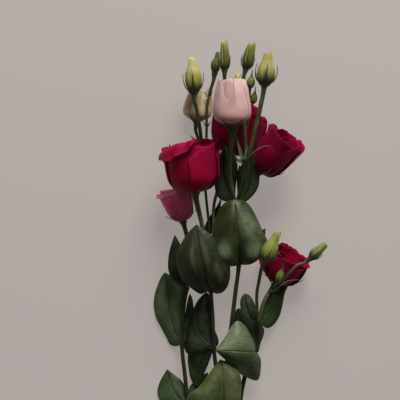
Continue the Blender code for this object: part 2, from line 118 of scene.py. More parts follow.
class Finish:
    """The material of one kind of petal, leaf or stem."""

    def __init__(self, name, roughness, **gloss):
        self.material = bpy.data.materials.new(name)
        self.material.use_nodes = True
        self.nodes = self.material.node_tree.nodes
        self.shader = self.nodes["Principled BSDF"]
        self.set(self.shader, {"Roughness": roughness, **gloss})

    def set(self, node, inputs):
        for key, value in inputs.items():
            if isinstance(value, Value):
                self.material.node_tree.links.new(value.socket, node.inputs[key])
            else:
                node.inputs[key].default_value = value

    def node(self, kind, settings, inputs, output=0):
        made = self.nodes.new(kind)
        for key, value in settings.items():
            setattr(made, key, value)
        self.set(made, inputs)
        return Value(self, made.outputs[output])

    def place(self, x=1.0, y=1.0, z=1.0):
        """The piece's own place in metres, stretched along each axis."""
        own = self.node("ShaderNodeTexCoord", {}, {}, "Object")
        return self.node("ShaderNodeMapping", {}, {"Vector": own, "Scale": (x, y, z)})

    def grown(self):
        """Across (-1 to 1) and along (0 at the foot, 1 at the tip) on a leaf, petal or sepal."""
        uv = self.node("ShaderNodeTexCoord", {}, {}, "UV")
        split = self.node("ShaderNodeSeparateXYZ", {}, {"Vector": uv})
        across = split * 2 - 1
        along = Value(self, split.socket.node.outputs["Y"])
        return across, along

    def noise(self, scale, detail=2.0, where=None):
        return self.node("ShaderNodeTexNoise", {}, {
            "Vector": where or self.place(), "Scale": scale, "Detail": detail}, "Fac")

    def mix(self, amount, one, other):
        """A colour between two: one at 0, other at 1."""
        mixed = self.nodes.new("ShaderNodeMix")
        mixed.data_type = "RGBA"
        sockets = {s.identifier: k for k, s in enumerate(mixed.inputs)}
        pairs = {"Factor_Float": amount, "A_Color": one, "B_Color": other}
        self.set(mixed, {
            sockets[key]: (*value, 1) if isinstance(value, tuple) else value
            for key, value in pairs.items()})
        return Value(self, next(s for s in mixed.outputs if s.identifier == "Result_Color"))

    def finish(self, colour, height, depth, **inputs):
        bump = self.node("ShaderNodeBump", {}, {"Height": height, "Strength": 1.0, "Distance": depth})
        self.set(self.shader, {"Base Color": colour, "Normal": bump, **inputs})
        return self.material


def at(place):
    return Vector(place) * MM


def smooth_route(places, steps):
    """Evenly spaced points of a smooth curve through the given ones."""
    places = [Vector(place) for place in places]
    ends = [places[0] * 2 - places[1], *places, places[-1] * 2 - places[-2]]
    fine = []
    for a, b, c, d in zip(ends, ends[1:], ends[2:], ends[3:]):
        for t in (k / 12 for k in range(12)):
            fine.append(0.5 * (
                2 * b + (c - a) * t + (2 * a - 5 * b + 4 * c - d) * t**2 + (3 * b - a - 3 * c + d) * t**3))
    fine.append(places[-1])
    reached = [0.0]
    for near, far in zip(fine, fine[1:]):
        reached.append(reached[-1] + (far - near).length)
    route, k = [], 0
    for i in range(steps):
        wanted = reached[-1] * i / steps
        while reached[k + 1] < wanted:
            k += 1
        route.append(fine[k].lerp(fine[k + 1], (wanted - reached[k]) / (reached[k + 1] - reached[k])))
    return [*route, places[-1]]


def tube(name, route, radii, sides):
    """A closed round tube with a radius of its own at each point of its route."""
    bpy.ops.object.select_all(action="DESELECT")
    bpy.ops.curve.primitive_nurbs_path_add()
    line = bpy.context.object.data
    line.splines.clear()
    spline = line.splines.new("POLY")
    spline.points.add(len(route) - 1)
    for point, place, radius in zip(spline.points, route, radii):
        point.co = (*place, 1)
        point.radius = radius
    line.bevel_depth = 1
    line.bevel_resolution = sides // 2 - 2
    line.use_fill_caps = True
    bpy.ops.object.convert(target="MESH")
    piece = bpy.context.object
    piece.name = name
    bpy.ops.object.shade_smooth_by_angle(angle=math.radians(50))
    return piece


def settle(piece, node, slot, finish):
    """Puts a finished piece in its CAD node's place."""
    piece.data.materials.clear()
    piece.data.materials.append(finish)
    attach(piece, "root")
    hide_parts(node)


def stem_finish(name, shade, light):
    """Green skin with faint streaks along the stem and a slight gloss."""
    skin = Finish(name, 0.42, **{"Specular IOR Level": 0.3})
    streaks = skin.noise(900, 3, skin.place(1, 0.05, 1))
    patches = skin.noise(60, 2)
    colour = skin.mix((streaks * 0.6 + patches * 0.6 - 0.1).within(0.25, 0.8), shade, light)
    return skin.finish(colour, streaks, 0.0004, Roughness=patches * 0.2 + 0.34)


branch_finish = stem_finish("branch_green", (0.010, 0.014, 0.004), (0.034, 0.044, 0.015))
for name, (places, foot_radius, top_radius, knobs) in STEMS.items():
    route = smooth_route([at(place) for place in places], STEM_STEPS)
    length = STEM_STEPS * (route[1] - route[0]).length
    radii = []
    for i in range(STEM_STEPS + 1):
        t = i / STEM_STEPS
        swelling = sum(math.exp(-(((t - knob) * length / KNOB_REACH) ** 2)) for knob in knobs)
        radii.append((foot_radius + (top_radius - foot_radius) * t + KNOB_RISE * swelling) * MM)
    settle(tube(name + "_skin", route, radii, STEM_SIDES), name, "stem", branch_finish)


# ---- Leaves ----
# Broad, fleshy oval leaves in pairs at the knobs. Their feet clasp the stem with rounded lobes,
# and their skin is grey-green, waxy and a little mottled, with a few long veins from foot to tip.
LEAF_ROWS = 44
LEAF_COLUMNS = 26
LEAF_THICKNESS = 0.45 * MM
# Each leaf: its midrib from the foot to the tip, its left and right edges from there on, how far its
# halves arch, how far its edge waves, and the darker and lighter greens of its skin.
LEAVES = {
    "leaf_main_low": (
        [(-15, -120.5, 19.5), (-15.3, -114, 29), (-15.8, -104, 35), (-16.2, -92, 38), (-17, -80, 37),
         (-18.5, -68.7, 33)],
        [(-24, -126, 21), (-36, -126, 23), (-47, -120, 24), (-52.5, -112, 25), (-50, -105, 27),
         (-44, -100.5, 29), (-37.5, -94, 31), (-31, -85, 32), (-25.5, -77, 33), (-18.5, -68.7, 33)],
        [(-10, -124, 21), (-3, -120, 24), (1.2, -112, 27), (2.3, -103, 29), (2.8, -94.5, 30.5), (1, -84, 32),
         (-4, -76.5, 33), (-11, -72, 33.5), (-18.5, -68.7, 33)],
        0.10, 0.5, (0.055, 0.078, 0.020), (0.130, 0.160, 0.050)),
    "leaf_main_front": (
        [(0.5, 27, 34.8), (0.4, 32, 41.5), (-0.4, 42, 48), (-2, 58, 52.5), (-3.5, 74, 53.5), (-4.4, 86, 50.5),
         (-4.6, 92, 46.5)],
        [(-5, 25.5, 39), (-13.4, 25.8, 44), (-21, 31, 47), (-26.5, 41, 46), (-27.5, 54, 42.5), (-25, 68, 41),
         (-21, 79, 41), (-15.5, 87.5, 42), (-9, 91.5, 44), (-4.6, 92, 46)],
        [(5, 26.6, 39), (12, 27.8, 44), (20, 33, 46.5), (26, 41, 45), (28.4, 50.3, 42), (24.5, 58, 40.5),
         (19.8, 69, 40.5), (15, 79, 41.5), (9.5, 87, 43), (3, 91.4, 44.5), (-4.6, 92, 46)],
        0.16, 0.5, (0.015, 0.021, 0.004), (0.046, 0.060, 0.018)),
    "leaf_main_back": (
        [(0.8, 26.6, 33), (6, 32, 29), (15, 44, 27.5), (22, 54, 28.5), (27, 63, 30)],
        [(2, 33, 29.5), (7.5, 45, 27), (15.5, 56, 27.5), (27, 63, 30)],
        [(7.5, 27.5, 29), (18, 35, 26.5), (26, 47, 27), (27, 63, 30)],
        0.08, 0.4, (0.014, 0.024, 0.006), (0.040, 0.060, 0.020)),
    "leaf_main_top_right": (
        [(1.2, 90.6, 33.6), (5.5, 95, 34.4), (9.8, 104, 36.5), (11.6, 118, 38.7), (12.5, 131, 39.8),
         (13, 143, 40)],
        [(-0.5, 95, 33), (-1.8, 105, 34), (-1.6, 116, 35.4), (0.6, 127, 37), (5, 137, 38.8), (13, 143, 40)],
        [(6, 89.6, 33), (11.5, 93.3, 34), (16.8, 99.5, 35.2), (20, 107, 36.8), (20.6, 116, 38),
         (19.5, 127, 39), (16.8, 137, 39.6), (13, 143, 40)],
        0.10, 0.4, (0.010, 0.017, 0.004), (0.032, 0.048, 0.014)),
    "leaf_main_top_left": (
        [(-3.2, 91, 33), (-8, 97, 31.5), (-13, 108, 30), (-15.5, 122, 29.5), (-15.3, 135, 29.7),
         (-14.5, 146.5, 30)],
        [(-8.5, 90.2, 31), (-16.5, 91, 29), (-22, 96.5, 28), (-24.2, 107, 27.5), (-23, 119, 27.6),
         (-20.5, 132, 28.5), (-17.5, 141, 29.4), (-14.5, 146.5, 30)],
        [(-3.4, 97, 31.4), (-2.8, 107, 30), (-1, 119, 29.6), (-1.8, 130, 29.6), (-6.5, 140, 29.8),
         (-14.5, 146.5, 30)],
        0.10, 0.4, (0.009, 0.016, 0.006), (0.030, 0.045, 0.019)),
    "leaf_middle_low_left": (
        [(-26, -57.3, 16.4), (-33, -52, 15), (-40.5, -40, 14), (-42, -26, 13.5), (-38.5, -13, 13.5),
         (-32.3, -2.6, 13)],
        [(-33, -61.5, 14), (-43, -67, 11), (-51.5, -66.5, 9), (-55.8, -58, 8), (-55.7, -47.5, 8),
         (-52.5, -37, 9.5), (-49.5, -28.5, 11), (-45.5, -19.5, 11.5), (-41.5, -11.8, 12), (-36.9, -6.3, 12.5),
         (-32.3, -2.6, 13)],
        [(-23, -59, 13), (-20.2, -56, 12), (-20.4, -50.5, 12), (-23, -43.5, 12.5), (-26.5, -34, 13),
         (-28.2, -24, 13), (-28.3, -13, 13), (-29.5, -6, 13), (-32.3, -2.6, 13)],
        0.08, 0.4, (0.008, 0.015, 0.004), (0.024, 0.036, 0.015)),
    "leaf_middle_low_drooping": (
        [(-26, -59.5, 14.6), (-32, -66, 11.5), (-38, -77, 9.5), (-41, -88, 8.5), (-41.3, -99, 8)],
        [(-26.5, -64, 13), (-28.5, -71, 11), (-31.5, -79, 9.5), (-35.5, -88, 8.5), (-38.5, -94.5, 8),
         (-41.3, -99, 8)],
        [(-33, -59.5, 13), (-43, -60, 8.5), (-50, -64, 6), (-51.6, -73, 6), (-50.3, -84, 6.5),
         (-48.5, -92, 7), (-45.5, -97, 7.6), (-41.3, -99, 8)],
        0.08, 0.4, (0.008, 0.015, 0.004), (0.026, 0.040, 0.013)),
    "leaf_middle_front": (
        [(-28.7, 0.3, 27.5), (-31, 7, 40), (-36, 24, 50), (-39.5, 42, 53), (-42.5, 67.4, 49)],
        [(-33, -1.5, 28), (-39, -3, 31), (-47, 2.5, 36), (-55, 10, 39), (-61, 22, 42), (-62.9, 35, 44),
         (-59, 46, 46), (-51.5, 58, 47.5), (-42.5, 67.4, 49)],
        [(-25.5, -1.5, 29), (-21.5, -2.8, 32), (-15.5, -0.3, 37), (-10.8, 7, 41), (-10, 17, 44),
         (-13.9, 31, 47), (-19.5, 44, 48), (-28.5, 57, 49), (-42.5, 67.4, 49)],
        0.14, 0.5, (0.012, 0.017, 0.004), (0.036, 0.046, 0.015)),
    "leaf_middle_back": (
        [(-26, -1.4, 23), (-21, 2, 20.5), (-15, 11, 19.5), (-9, 27, 21)],
        [(-24.5, 4, 20), (-20, 13, 18.5), (-14.5, 21, 19.5), (-9, 27, 21)],
        [(-19.5, -3, 19.5), (-12, 3, 18), (-8.4, 13, 18.8), (-9, 27, 21)],
        0.08, 0.4, (0.012, 0.020, 0.006), (0.035, 0.052, 0.020)),
    "leaf_left_low_outer": (
        [(-52.4, -118.6, 8.6), (-57, -116, 7), (-64, -108, 5.5), (-69, -97, 4.5), (-72.6, -82.8, 3.6)],
        [(-56, -122, 6), (-64, -124.5, 3.5), (-74, -122, 2.8), (-81, -114, 2.6), (-82.8, -105.6, 2.7),
         (-80.7, -97, 2.9), (-76.7, -89, 3.2), (-72.6, -82.8, 3.6)],
        [(-51.8, -114, 6.5), (-53, -107, 5), (-55.5, -99, 4.4), (-59, -93.5, 4), (-65.5, -88.5, 3.8),
         (-72.6, -82.8, 3.6)],
        0.10, 0.4, (0.030, 0.050, 0.014), (0.070, 0.105, 0.040)),
    "leaf_left_low_inner": (
        [(-50.2, -116.2, 8.2), (-45.5, -111.5, 5.5), (-39.5, -101.5, 4), (-31, -86, 3.6)],
        [(-51.2, -111, 6), (-50.5, -103, 4), (-46, -96, 3.4), (-39, -90, 3.2), (-31, -86, 3.6)],
        [(-44, -116.5, 5.5), (-37, -112, 3.6), (-32, -104, 3.2), (-30, -95, 3.2), (-31, -86, 3.6)],
        0.08, 0.4, (0.020, 0.034, 0.010), (0.050, 0.075, 0.028)),
    "leaf_left_outer": (
        [(-58.6, -54.6, 11.5), (-62.5, -49, 6.5), (-67.5, -37, 6), (-70.5, -22, 6), (-71.5, -8, 5.5),
         (-73, 5, 5), (-75.5, 17, 4)],
        [(-60.5, -57.8, 8), (-65, -59, 4.5), (-70, -57.2, 3.2), (-73.5, -50.5, 3), (-79, -40.2, 3),
         (-84.5, -29.5, 3), (-86.6, -17, 3), (-85.8, -6.5, 3), (-83, 2.8, 3), (-79.5, 11, 3.5),
         (-75.5, 17, 4)],
        [(-57.3, -52, 8.5), (-56.2, -44, 7), (-55.5, -32, 7), (-54.5, -19, 7.5), (-53.7, -6, 8),
         (-53.4, 1.6, 8.5), (-56, 4.6, 8), (-61.5, 7.6, 7), (-68.5, 13.4, 5.5), (-75.5, 17, 4)],
        0.10, 0.5, (0.032, 0.056, 0.014), (0.085, 0.125, 0.048)),
    "leaf_left_inner": (
        [(-56.6, -54, 11.8), (-53.5, -46, 9.5), (-50.8, -30, 7.5), (-49.6, -15, 7), (-49.3, -4.8, 7)],
        [(-56.8, -46, 9), (-55, -32, 7), (-53, -18, 6.6), (-51, -9, 6.8), (-49.3, -4.8, 7)],
        [(-52.5, -51, 10), (-48.5, -42, 8), (-46, -29, 7), (-45.6, -18, 6.6), (-47, -9.5, 6.8),
         (-49.3, -4.8, 7)],
        0.08, 0.3, (0.016, 0.028, 0.010), (0.040, 0.060, 0.026)),
    "leaf_left_top": (
        [(-54, 2, 17), (-57.5, 5, 21.5), (-62, 16, 26), (-64, 30, 29), (-64.6, 44, 30), (-64.4, 56.4, 29)],
        [(-56.5, 3.2, 18), (-61, 5.6, 20), (-66, 10, 23), (-70, 17, 25), (-71.4, 26, 26.5), (-70.3, 37, 27.5),
         (-67.5, 48, 28.5), (-64.4, 56.4, 29)],
        [(-52.8, 4.5, 20), (-51.5, 10, 23), (-51.5, 20, 25), (-53.5, 32, 26), (-57.5, 43, 27.5),
         (-61.2, 51, 28.5), (-64.4, 56.4, 29)],
        0.08, 0.4, (0.010, 0.019, 0.005), (0.028, 0.045, 0.014)),
    "leaf_right_back": (
        [(17.2, -63, 17), (13, -57, 14), (8, -46, 12.5), (3.5, -33, 12.5), (-1, -19.5, 13)],
        [(10, -61, 13.5), (3, -52, 12), (-2.5, -41, 11.5), (-4.6, -31, 12), (-3.5, -24, 12.5),
         (-1, -19.5, 13)],
        [(21, -58, 13), (25.8, -48, 11), (26.3, -40.5, 11), (20, -31, 11.5), (11, -23, 12.3),
         (4, -19.5, 12.8), (-1, -19.5, 13)],
        0.08, 0.4, (0.012, 0.022, 0.006), (0.040, 0.060, 0.024)),
    # Its greens are kept dark as painted shade for its lower half; its highlight patches paint the upper half
    # lit.
    "leaf_right_front": (
        [(17.2, -62.3, 20), (15, -61.5, 31), (6, -60.2, 40), (-6, -59.4, 44.5), (-17, -58.6, 45.5),
         (-23.6, -58.2, 44)],
        [(20, -65, 22), (22.6, -71, 21), (22.8, -80, 17.5), (21.8, -89, 14.5), (19, -92.8, 14),
         (13, -91.2, 16), (5, -86.8, 21.5), (-2.5, -80.8, 28), (-11.3, -71, 35), (-18.5, -63.8, 41.5),
         (-23.6, -58.2, 44)],
        [(17.5, -60, 22), (16.4, -55, 25), (13.1, -47, 28), (9.1, -39.3, 30), (4.5, -33.5, 31),
         (-1.1, -30.3, 32), (-6.2, -34, 35), (-11.3, -41.2, 38), (-17, -50, 41.5), (-23.6, -58.2, 44)],
        0.09, 0.4, (0.026, 0.038, 0.014), (0.070, 0.098, 0.040)),
    "leaf_right_top_outer": (
        [(21.6, -32, 20.2), (25.5, -29, 15.5), (33, -20, 11.5), (40.5, -8.5, 9), (48, 3, 7), (56, 10.8, 6)],
        [(22.8, -27, 17.5), (24.6, -19, 14), (28.6, -10.8, 11), (33.5, -3, 9), (39, 3.5, 7.6), (46, 8.2, 6.6),
         (56, 10.8, 6)],
        [(24.5, -36.5, 16), (29.8, -39.6, 12), (36.5, -36.5, 9), (42.5, -28, 7), (45.6, -17, 6),
         (47.8, -6, 5.6), (51, 2, 5.6), (56, 10.8, 6)],
        0.08, 0.4, (0.009, 0.022, 0.002), (0.026, 0.050, 0.006)),
    "leaf_right_top_inner": (
        [(18, -31.6, 21.8), (13.8, -29, 26), (9.8, -22, 31.5), (7.2, -12, 36), (6, -2, 38)],
        [(14, -33.4, 24.5), (8, -29, 29), (3.2, -21, 32), (1.4, -12.5, 34), (2.6, -6, 36.5), (6, -2, 38)],
        [(18.2, -27, 25), (17.6, -20.5, 29), (16, -13.5, 32.5), (13.6, -8, 35.5), (10.2, -3.6, 37.4),
         (6, -2, 38)],
        0.10, 0.3, (0.024, 0.036, 0.016), (0.080, 0.105, 0.060)),
}

# Painted highlights where light catches a leaf: their colour, and each patch's place and reach across and
# along.
PAINTED_HIGHLIGHTS = {
    "leaf_main_front": ((0.19, 0.25, 0.13), [
        (0.50, 0.62, 0.34, 0.20), (0.62, 0.32, 0.30, 0.10), (-0.60, 0.34, 0.26, 0.11),
        (0.05, 0.95, 0.6, 0.05)]),
    "leaf_middle_front": ((0.085, 0.105, 0.055), [
        (0.24, 0.60, 0.13, 0.24), (-0.34, 0.62, 0.10, 0.22), (0.60, 0.40, 0.14, 0.10)]),
    # On leaf_right_front the patches paint its upper half lit.
    "leaf_right_front": ((0.18, 0.235, 0.12), [(0.52, 0.50, 0.56, 0.50), (0.30, 0.86, 0.5, 0.24)]),
    "leaf_right_top_inner": ((0.15, 0.19, 0.12), [(-0.45, 0.62, 0.34, 0.30), (0.40, 0.70, 0.20, 0.20)]),
    "leaf_right_top_outer": ((0.065, 0.10, 0.02), [(0.45, 0.22, 0.34, 0.16), (-0.3, 0.3, 0.3, 0.2)]),
    "leaf_main_low": ((0.19, 0.215, 0.11), [
        (0.55, 0.62, 0.30, 0.26), (-0.45, 0.66, 0.26, 0.18), (0.25, 0.30, 0.24, 0.18)]),
    "leaf_left_outer": ((0.10, 0.145, 0.08), [(0.45, 0.42, 0.34, 0.24), (-0.5, 0.66, 0.28, 0.20)]),
    "leaf_left_low_outer": ((0.10, 0.145, 0.08), [(0.40, 0.60, 0.34, 0.24)]),
    "leaf_middle_low_left": ((0.05, 0.07, 0.035), [(-0.45, 0.30, 0.28, 0.14), (0.4, 0.6, 0.3, 0.2)]),
    "leaf_main_top_right": ((0.06, 0.09, 0.04), [(0.55, 0.24, 0.34, 0.14)]),
    "leaf_main_top_left": ((0.05, 0.075, 0.04), [(-0.5, 0.34, 0.34, 0.16)]),
}


def sheet(name, across, along, place):
    """A thin sheet drawn as a grid and bent, so that each of its points goes to place(u, v)."""
    bpy.ops.object.select_all(action="DESELECT")
    bpy.ops.mesh.primitive_grid_add(x_subdivisions=across, y_subdivisions=along, size=2)
    piece = bpy.context.object
    piece.name = name
    for vertex in piece.data.vertices:
        vertex.co = place(vertex.co.x, (vertex.co.y + 1) / 2)
    bpy.ops.object.mode_set(mode="EDIT")
    bpy.ops.mesh.select_all(action="SELECT")
    bpy.ops.mesh.remove_doubles(threshold=0.02 * MM)
    bpy.ops.object.mode_set(mode="OBJECT")
    return piece


def thicken(piece, thickness):
    """Gives a bent sheet its wall."""
    wall = piece.modifiers.new("wall", "SOLIDIFY")
    wall.thickness = thickness
    wall.offset = 0
    bpy.context.view_layer.objects.active = piece
    bpy.ops.object.modifier_apply(modifier="wall")
    bpy.ops.object.shade_smooth_by_angle(angle=math.radians(60))
    return piece


def leaf_finish(name, shade, light, highlight_colour, highlight_patches):
    """Waxy leaf skin: mottled green, painted highlight patches, faint veins with a fine net between, and a pale
    rim.
    """
    skin = Finish(name, 0.4, **{"Specular IOR Level": 0.3, "Coat Roughness": 0.3})
    across, along = skin.grown()
    wander = skin.noise(45, 2) - 0.5
    side = abs(across + wander * 0.12)
    midrib = 1 - side.within(0.008, 0.05)
    fade = 1 - along.within(0.55, 0.95)
    veins = sum(1 - abs(side - reach * (1.1 - 0.35 * along)).within(0.0, 0.02) for reach in (0.28, 0.58))
    net = skin.node("ShaderNodeTexVoronoi", {"feature": "DISTANCE_TO_EDGE"}, {
        "Vector": skin.place(), "Scale": 420, "Randomness": 1.0}, "Distance").within(0.0, 0.16)
    patches = skin.noise(60, 3)
    cloud = skin.noise(170, 3)
    rim = abs(across).within(0.955, 0.995)
    foot = 1 - along.within(0.02, 0.30)
    tone = (patches * 1.2 + cloud * 0.3 + foot * 0.2 - 0.38).within(0.1, 0.85)
    colour = skin.mix(tone, shade, light)
    pale = tuple(min(1, c * 1.6 + 0.012) for c in light)
    lines = midrib * 0.28 + veins * fade * 0.10
    colour = skin.mix(lines + rim * 0.35 + (1 - net) * 0.07, colour, pale)
    drift = (skin.noise(85, 3, skin.place(1, 0.8, 1)) - 0.5) * 1.3
    # Painted highlights: each patch lightens the leaf towards the highlight colour, less on the midrib.
    for away, up, reach, rise in highlight_patches:
        aside, higher = (across - away) / reach + drift, (along - up) / rise - drift
        highlight_spot = (1 - (aside * aside + higher * higher) ** 0.5 * 0.62).within(0, 1)
        colour = skin.mix(highlight_spot * (0.15 + cloud * 0.9) * (1 - midrib * 0.6), colour, highlight_colour)
    height = patches * 0.6 + cloud * 0.25 + net * 0.10 - veins * fade * 0.3 - midrib * 0.7
    return skin.finish(
        colour, height, 0.0009, Roughness=cloud * 0.3 + 0.28, **{"Coat Weight": patches * 0.12})


for name, (midrib, left, right, arch, wave, shade, light) in LEAVES.items():
    middle, left, right = (
        smooth_route([at(p) for p in line], LEAF_ROWS)
        for line in (midrib, [midrib[0], *left], [midrib[0], *right]))

    def leaf_place(u, v):
        i = round(v * LEAF_ROWS)
        reach = (left if u < 0 else right)[i] - middle[i]
        u_side = abs(u)
        rise = arch * reach.length * 4 * u_side * (1 - u_side)
        swell = math.sin(7.5 * v + len(name) + 1.5 * u) * math.sin(math.pi * u_side)
        rise += 0.035 * reach.length * swell * min(1, 4 * v)
        rise += wave * MM * u_side**2 * math.sin(19 * v + 2 * u + len(name)) * min(1, 6 * (1 - v))
        rise -= 0.35 * MM * math.exp(-((u / 0.05) ** 2)) * min(1, 5 * v)
        return middle[i] + reach * u_side + UP * rise

    blade = thicken(sheet(name + "_blade", LEAF_COLUMNS, LEAF_ROWS, leaf_place), LEAF_THICKNESS)
    settle(blade, name, "leaf", leaf_finish(name + "_green", shade, light, *PAINTED_HIGHLIGHTS.get(name, (light, []))))


# ---- Open crimson flowers ----
# Each has a green stalk that swells into a calyx with five thin pointed sepals, an outer whorl of
# soft broad petals, and inner petals wrapped round one another. Petals overlap with one edge under
# and one over, their rims are frilled, and the flowers that lie on the surface are pressed flat.
CALYX_RADIUS = 3.2 * MM
CALYX_LENGTH = 3 * MM
STALK_SIDES = 14
STALK_STEPS = 30
STALK_FOOT_RADIUS = 1.15
SEPAL_COUNT = 5
SEPAL_THICKNESS = 0.35 * MM
PETAL_THICKNESS = 0.35 * MM
PETAL_COLUMNS = 30
PETAL_ROWS = 26
# The side-on shapes of petals: how far from the flower's axis, and how far up it, from foot to rim.
FULL = [(0.10, 0), (0.42, 0.03), (0.67, 0.12), (0.87, 0.30), (0.96, 0.52), (1.0, 0.76), (1.03, 1.0)]
FLARED = [(0.10, 0), (0.40, 0.04), (0.64, 0.15), (0.82, 0.35), (0.92, 0.58), (1.02, 0.80), (1.16, 0.95)]
SPREAD = [(0.10, 0), (0.42, 0.05), (0.78, 0.12), (1.06, 0.20), (1.25, 0.30), (1.42, 0.44)]
BROAD = [(0.10, 0), (0.44, 0.03), (0.70, 0.11), (0.92, 0.27), (0.98, 0.46), (1.0, 0.72), (1.03, 1.0)]
ROLLED = [(0.10, 0), (0.44, 0.03), (0.70, 0.11), (0.90, 0.28), (0.94, 0.50), (0.94, 0.74), (0.96, 0.89),
          (1.02, 0.97), (1.10, 0.96), (1.17, 0.90), (1.20, 0.79), (1.19, 0.66)]
EDGED = [(0.10, 0), (0.42, 0.03), (0.66, 0.13), (0.84, 0.32), (0.93, 0.55), (0.96, 0.80), (1.00, 0.94),
         (1.06, 0.97)]
INNER = [(0.07, 0.02), (0.34, 0.08), (0.62, 0.25), (0.78, 0.50), (0.81, 0.78), (0.74, 1.0)]
HEART = [(0.05, 0.05), (0.22, 0.2), (0.42, 0.45), (0.50, 0.70), (0.42, 0.94)]
# Each petal: the way it faces round the flower (90 is up, towards the eye), half the angle that it
# spans, its side-on shape, its reach, its height, its slant, how much it is frilled, and a number that
# sets its waves and whose last digit darkens it as painted shade, most on petals that lie in shade.
# A stalk has its route and its radius, and sepals have their length, half their width, how far they
# stand off, and where the first one sits.
RED_FLOWERS = {
    "left_red": {
        "foot": (-43.8, 99.5, 43.5), "way": (-0.10, 0.97, 0.15), "flat": 1, "radius": 26.5, "height": 50.5,
        "stalk": ([(-30.2, -1.5, 25), (-32.5, 29.5, 30), (-36, 61, 35)], 2.0), "cup": 5.4,
        "sepals": (6.5, 3.6, 0, 126),
        "outer": [
            (265, 56, BROAD, 1.0, 1.0, 0, 1.8, 14), (332, 52, BROAD, 1.0, 1.0, 0, 1.8, 23),
            (212, 50, BROAD, 1.04, 0.93, 0, 1.8, 31), (136, 56, ROLLED, 1.01, 1.0, -0.15, 3.3, 40),
            (36, 60, BROAD, 0.98, 1.0, -0.02, 1.5, 50)],
        "inner": [
            (118, 62, INNER, 1.12, 0.98, 0, 1.4, 63), (165, 60, INNER, 1.06, 1.0, 0, 1.4, 72),
            (75, 60, INNER, 1.06, 1.0, 0, 1.4, 82), (330, 62, INNER, 1.0, 1.01, 0, 1.4, 94),
            (230, 66, INNER, 0.98, 1.0, 0, 1.4, 103), (110, 66, HEART, 1.1, 0.99, 0, 1.2, 113),
            (270, 66, HEART, 1.0, 0.99, 0, 1.2, 124), (30, 66, HEART, 0.8, 0.99, 0, 1.2, 133)],
    },
    "right_red": {
        "foot": (21.5, 119.5, 34), "way": (0.60, 0.77, 0.27), "flat": 1, "radius": 19.5, "height": 48.5,
        "stalk": ([(0.2, 90.5, 31.8), (7, 103, 29)], 1.7),
        "sepals": (14, 1.4, 1.5, 70),
        "outer": [
            (262, 58, FULL, 1.0, 1.0, 0, 1.2, 22), (328, 54, FULL, 0.98, 1.0, 0, 1.3, 31),
            (200, 50, FLARED, 1.02, 1.0, 0, 1.2, 43), (8, -54, FULL, 0.91, 0.94, 0, 0.8, 50),
            (104, 76, EDGED, 1.0, 0.97, 0.10, 0.5, 66)],
        "inner": [
            (60, 58, INNER, 1.10, 0.86, 0.06, 1.0, 74), (150, 62, INNER, 1.10, 0.94, 0.03, 1.0, 84),
            (5, 62, INNER, 1.12, 0.96, 0, 1.2, 93), (255, 62, INNER, 1.10, 1.0, 0, 1.2, 103),
            (310, 66, INNER, 0.9, 0.98, 0, 1.0, 114), (190, 66, HEART, 1.2, 0.92, 0, 1.0, 124)],
    },
    "centre_red": {
        "foot": (-5, 138.5, 12.6), "way": (0.20, 0.94, 0.22), "flat": 0.6, "radius": 27, "height": 44.5,
        "stalk": ([(-26, -1.5, 25), (-24.6, 29.5, 25), (-25, 61.5, 20), (-24.5, 88, 14), (-15, 118, 10.5)],
                  1.6),
        "sepals": (16, 1.2, 0.6, 90),
        "outer": [
            (255, 54, FULL, 0.97, 1.0, 0, 1.2, 43), (325, 50, FULL, 1.0, 0.98, 0, 1.2, 53),
            (288, 26, FULL, 0.98, 1.13, 0, 1.0, 62), (200, 52, FULL, 1.0, 1.0, 0, 1.2, 74),
            (128, 52, FULL, 1.0, 0.98, 0, 0.9, 85), (52, 54, FULL, 1.0, 0.98, 0, 0.9, 93)],
        "inner": [
            (90, 62, INNER, 1.05, 0.98, 0, 1.4, 104), (210, 62, INNER, 1.0, 1.0, 0, 1.4, 115),
            (330, 62, INNER, 1.0, 1.0, 0, 1.4, 123), (150, 66, HEART, 1.0, 0.97, 0, 1.2, 134),
            (300, 66, HEART, 0.9, 0.98, 0, 1.2, 144)],
    },
    "lower_red": {
        "foot": (38.5, 8.4, 11.6), "way": (0.46, 0.84, 0.29), "flat": 0.68, "radius": 20.5, "height": 34.5,
        "stalk": ([(21, -32, 21.9), (25.5, -14, 18)], 2.1),
        "sepals": (17, 1.0, 3.5, 15),
        "outer": [
            (258, 58, FULL, 1.0, 1.02, 0, 1.3, 60), (320, 54, FULL, 1.04, 1.0, 0, 1.3, 71),
            (192, 42, SPREAD, 0.95, 1.0, 0, 0.7, 83), (4, -48, FLARED, 0.99, 0.97, 0.02, 0.9, 92),
            (140, 54, EDGED, 1.0, 0.98, 0.03, 0.7, 107), (72, 54, EDGED, 1.02, 0.97, -0.02, 0.7, 115)],
        "inner": [
            (280, 62, INNER, 1.14, 1.0, 0, 1.0, 121), (215, 62, INNER, 1.10, 1.0, 0, 1.0, 132),
            (345, 60, INNER, 1.10, 0.97, 0, 1.0, 141), (100, 66, INNER, 1.0, 0.90, 0, 0.8, 155),
            (190, 66, HEART, 1.2, 0.92, 0, 0.8, 163)],
    },
}


def along_profile(profile, steps=40):
    """The side-on shape of a petal as a smooth function of the way along it."""
    line = smooth_route([(r, 0, h) for r, h in profile], steps)

    def point(t):
        k = min(max(t, 0) * steps, steps - 1e-6)
        place = line[int(k)].lerp(line[int(k) + 1], k - int(k))
        return place.x, place.z

    return point


def standing(foot, way, flat):
    """Turns a place round a flower (how far right, how far front, how far up its way) into a real one."""
    way = way.normalized()
    right = way.cross(UP).normalized()
    front = right.cross(way)
    return lambda x, y, z: foot + Matrix.Diagonal((1, 1, flat)) @ (right * x + front * y + way * z)


def joined(name, parts):
    """One piece from several drawn parts that grow together."""
    bpy.ops.object.select_all(action="DESELECT")
    for part in parts:
        part.select_set(True)
    bpy.context.view_layer.objects.active = parts[0]
    if len(parts) > 1:
        bpy.ops.object.join()
    piece = bpy.context.object
    piece.name = name
    return piece


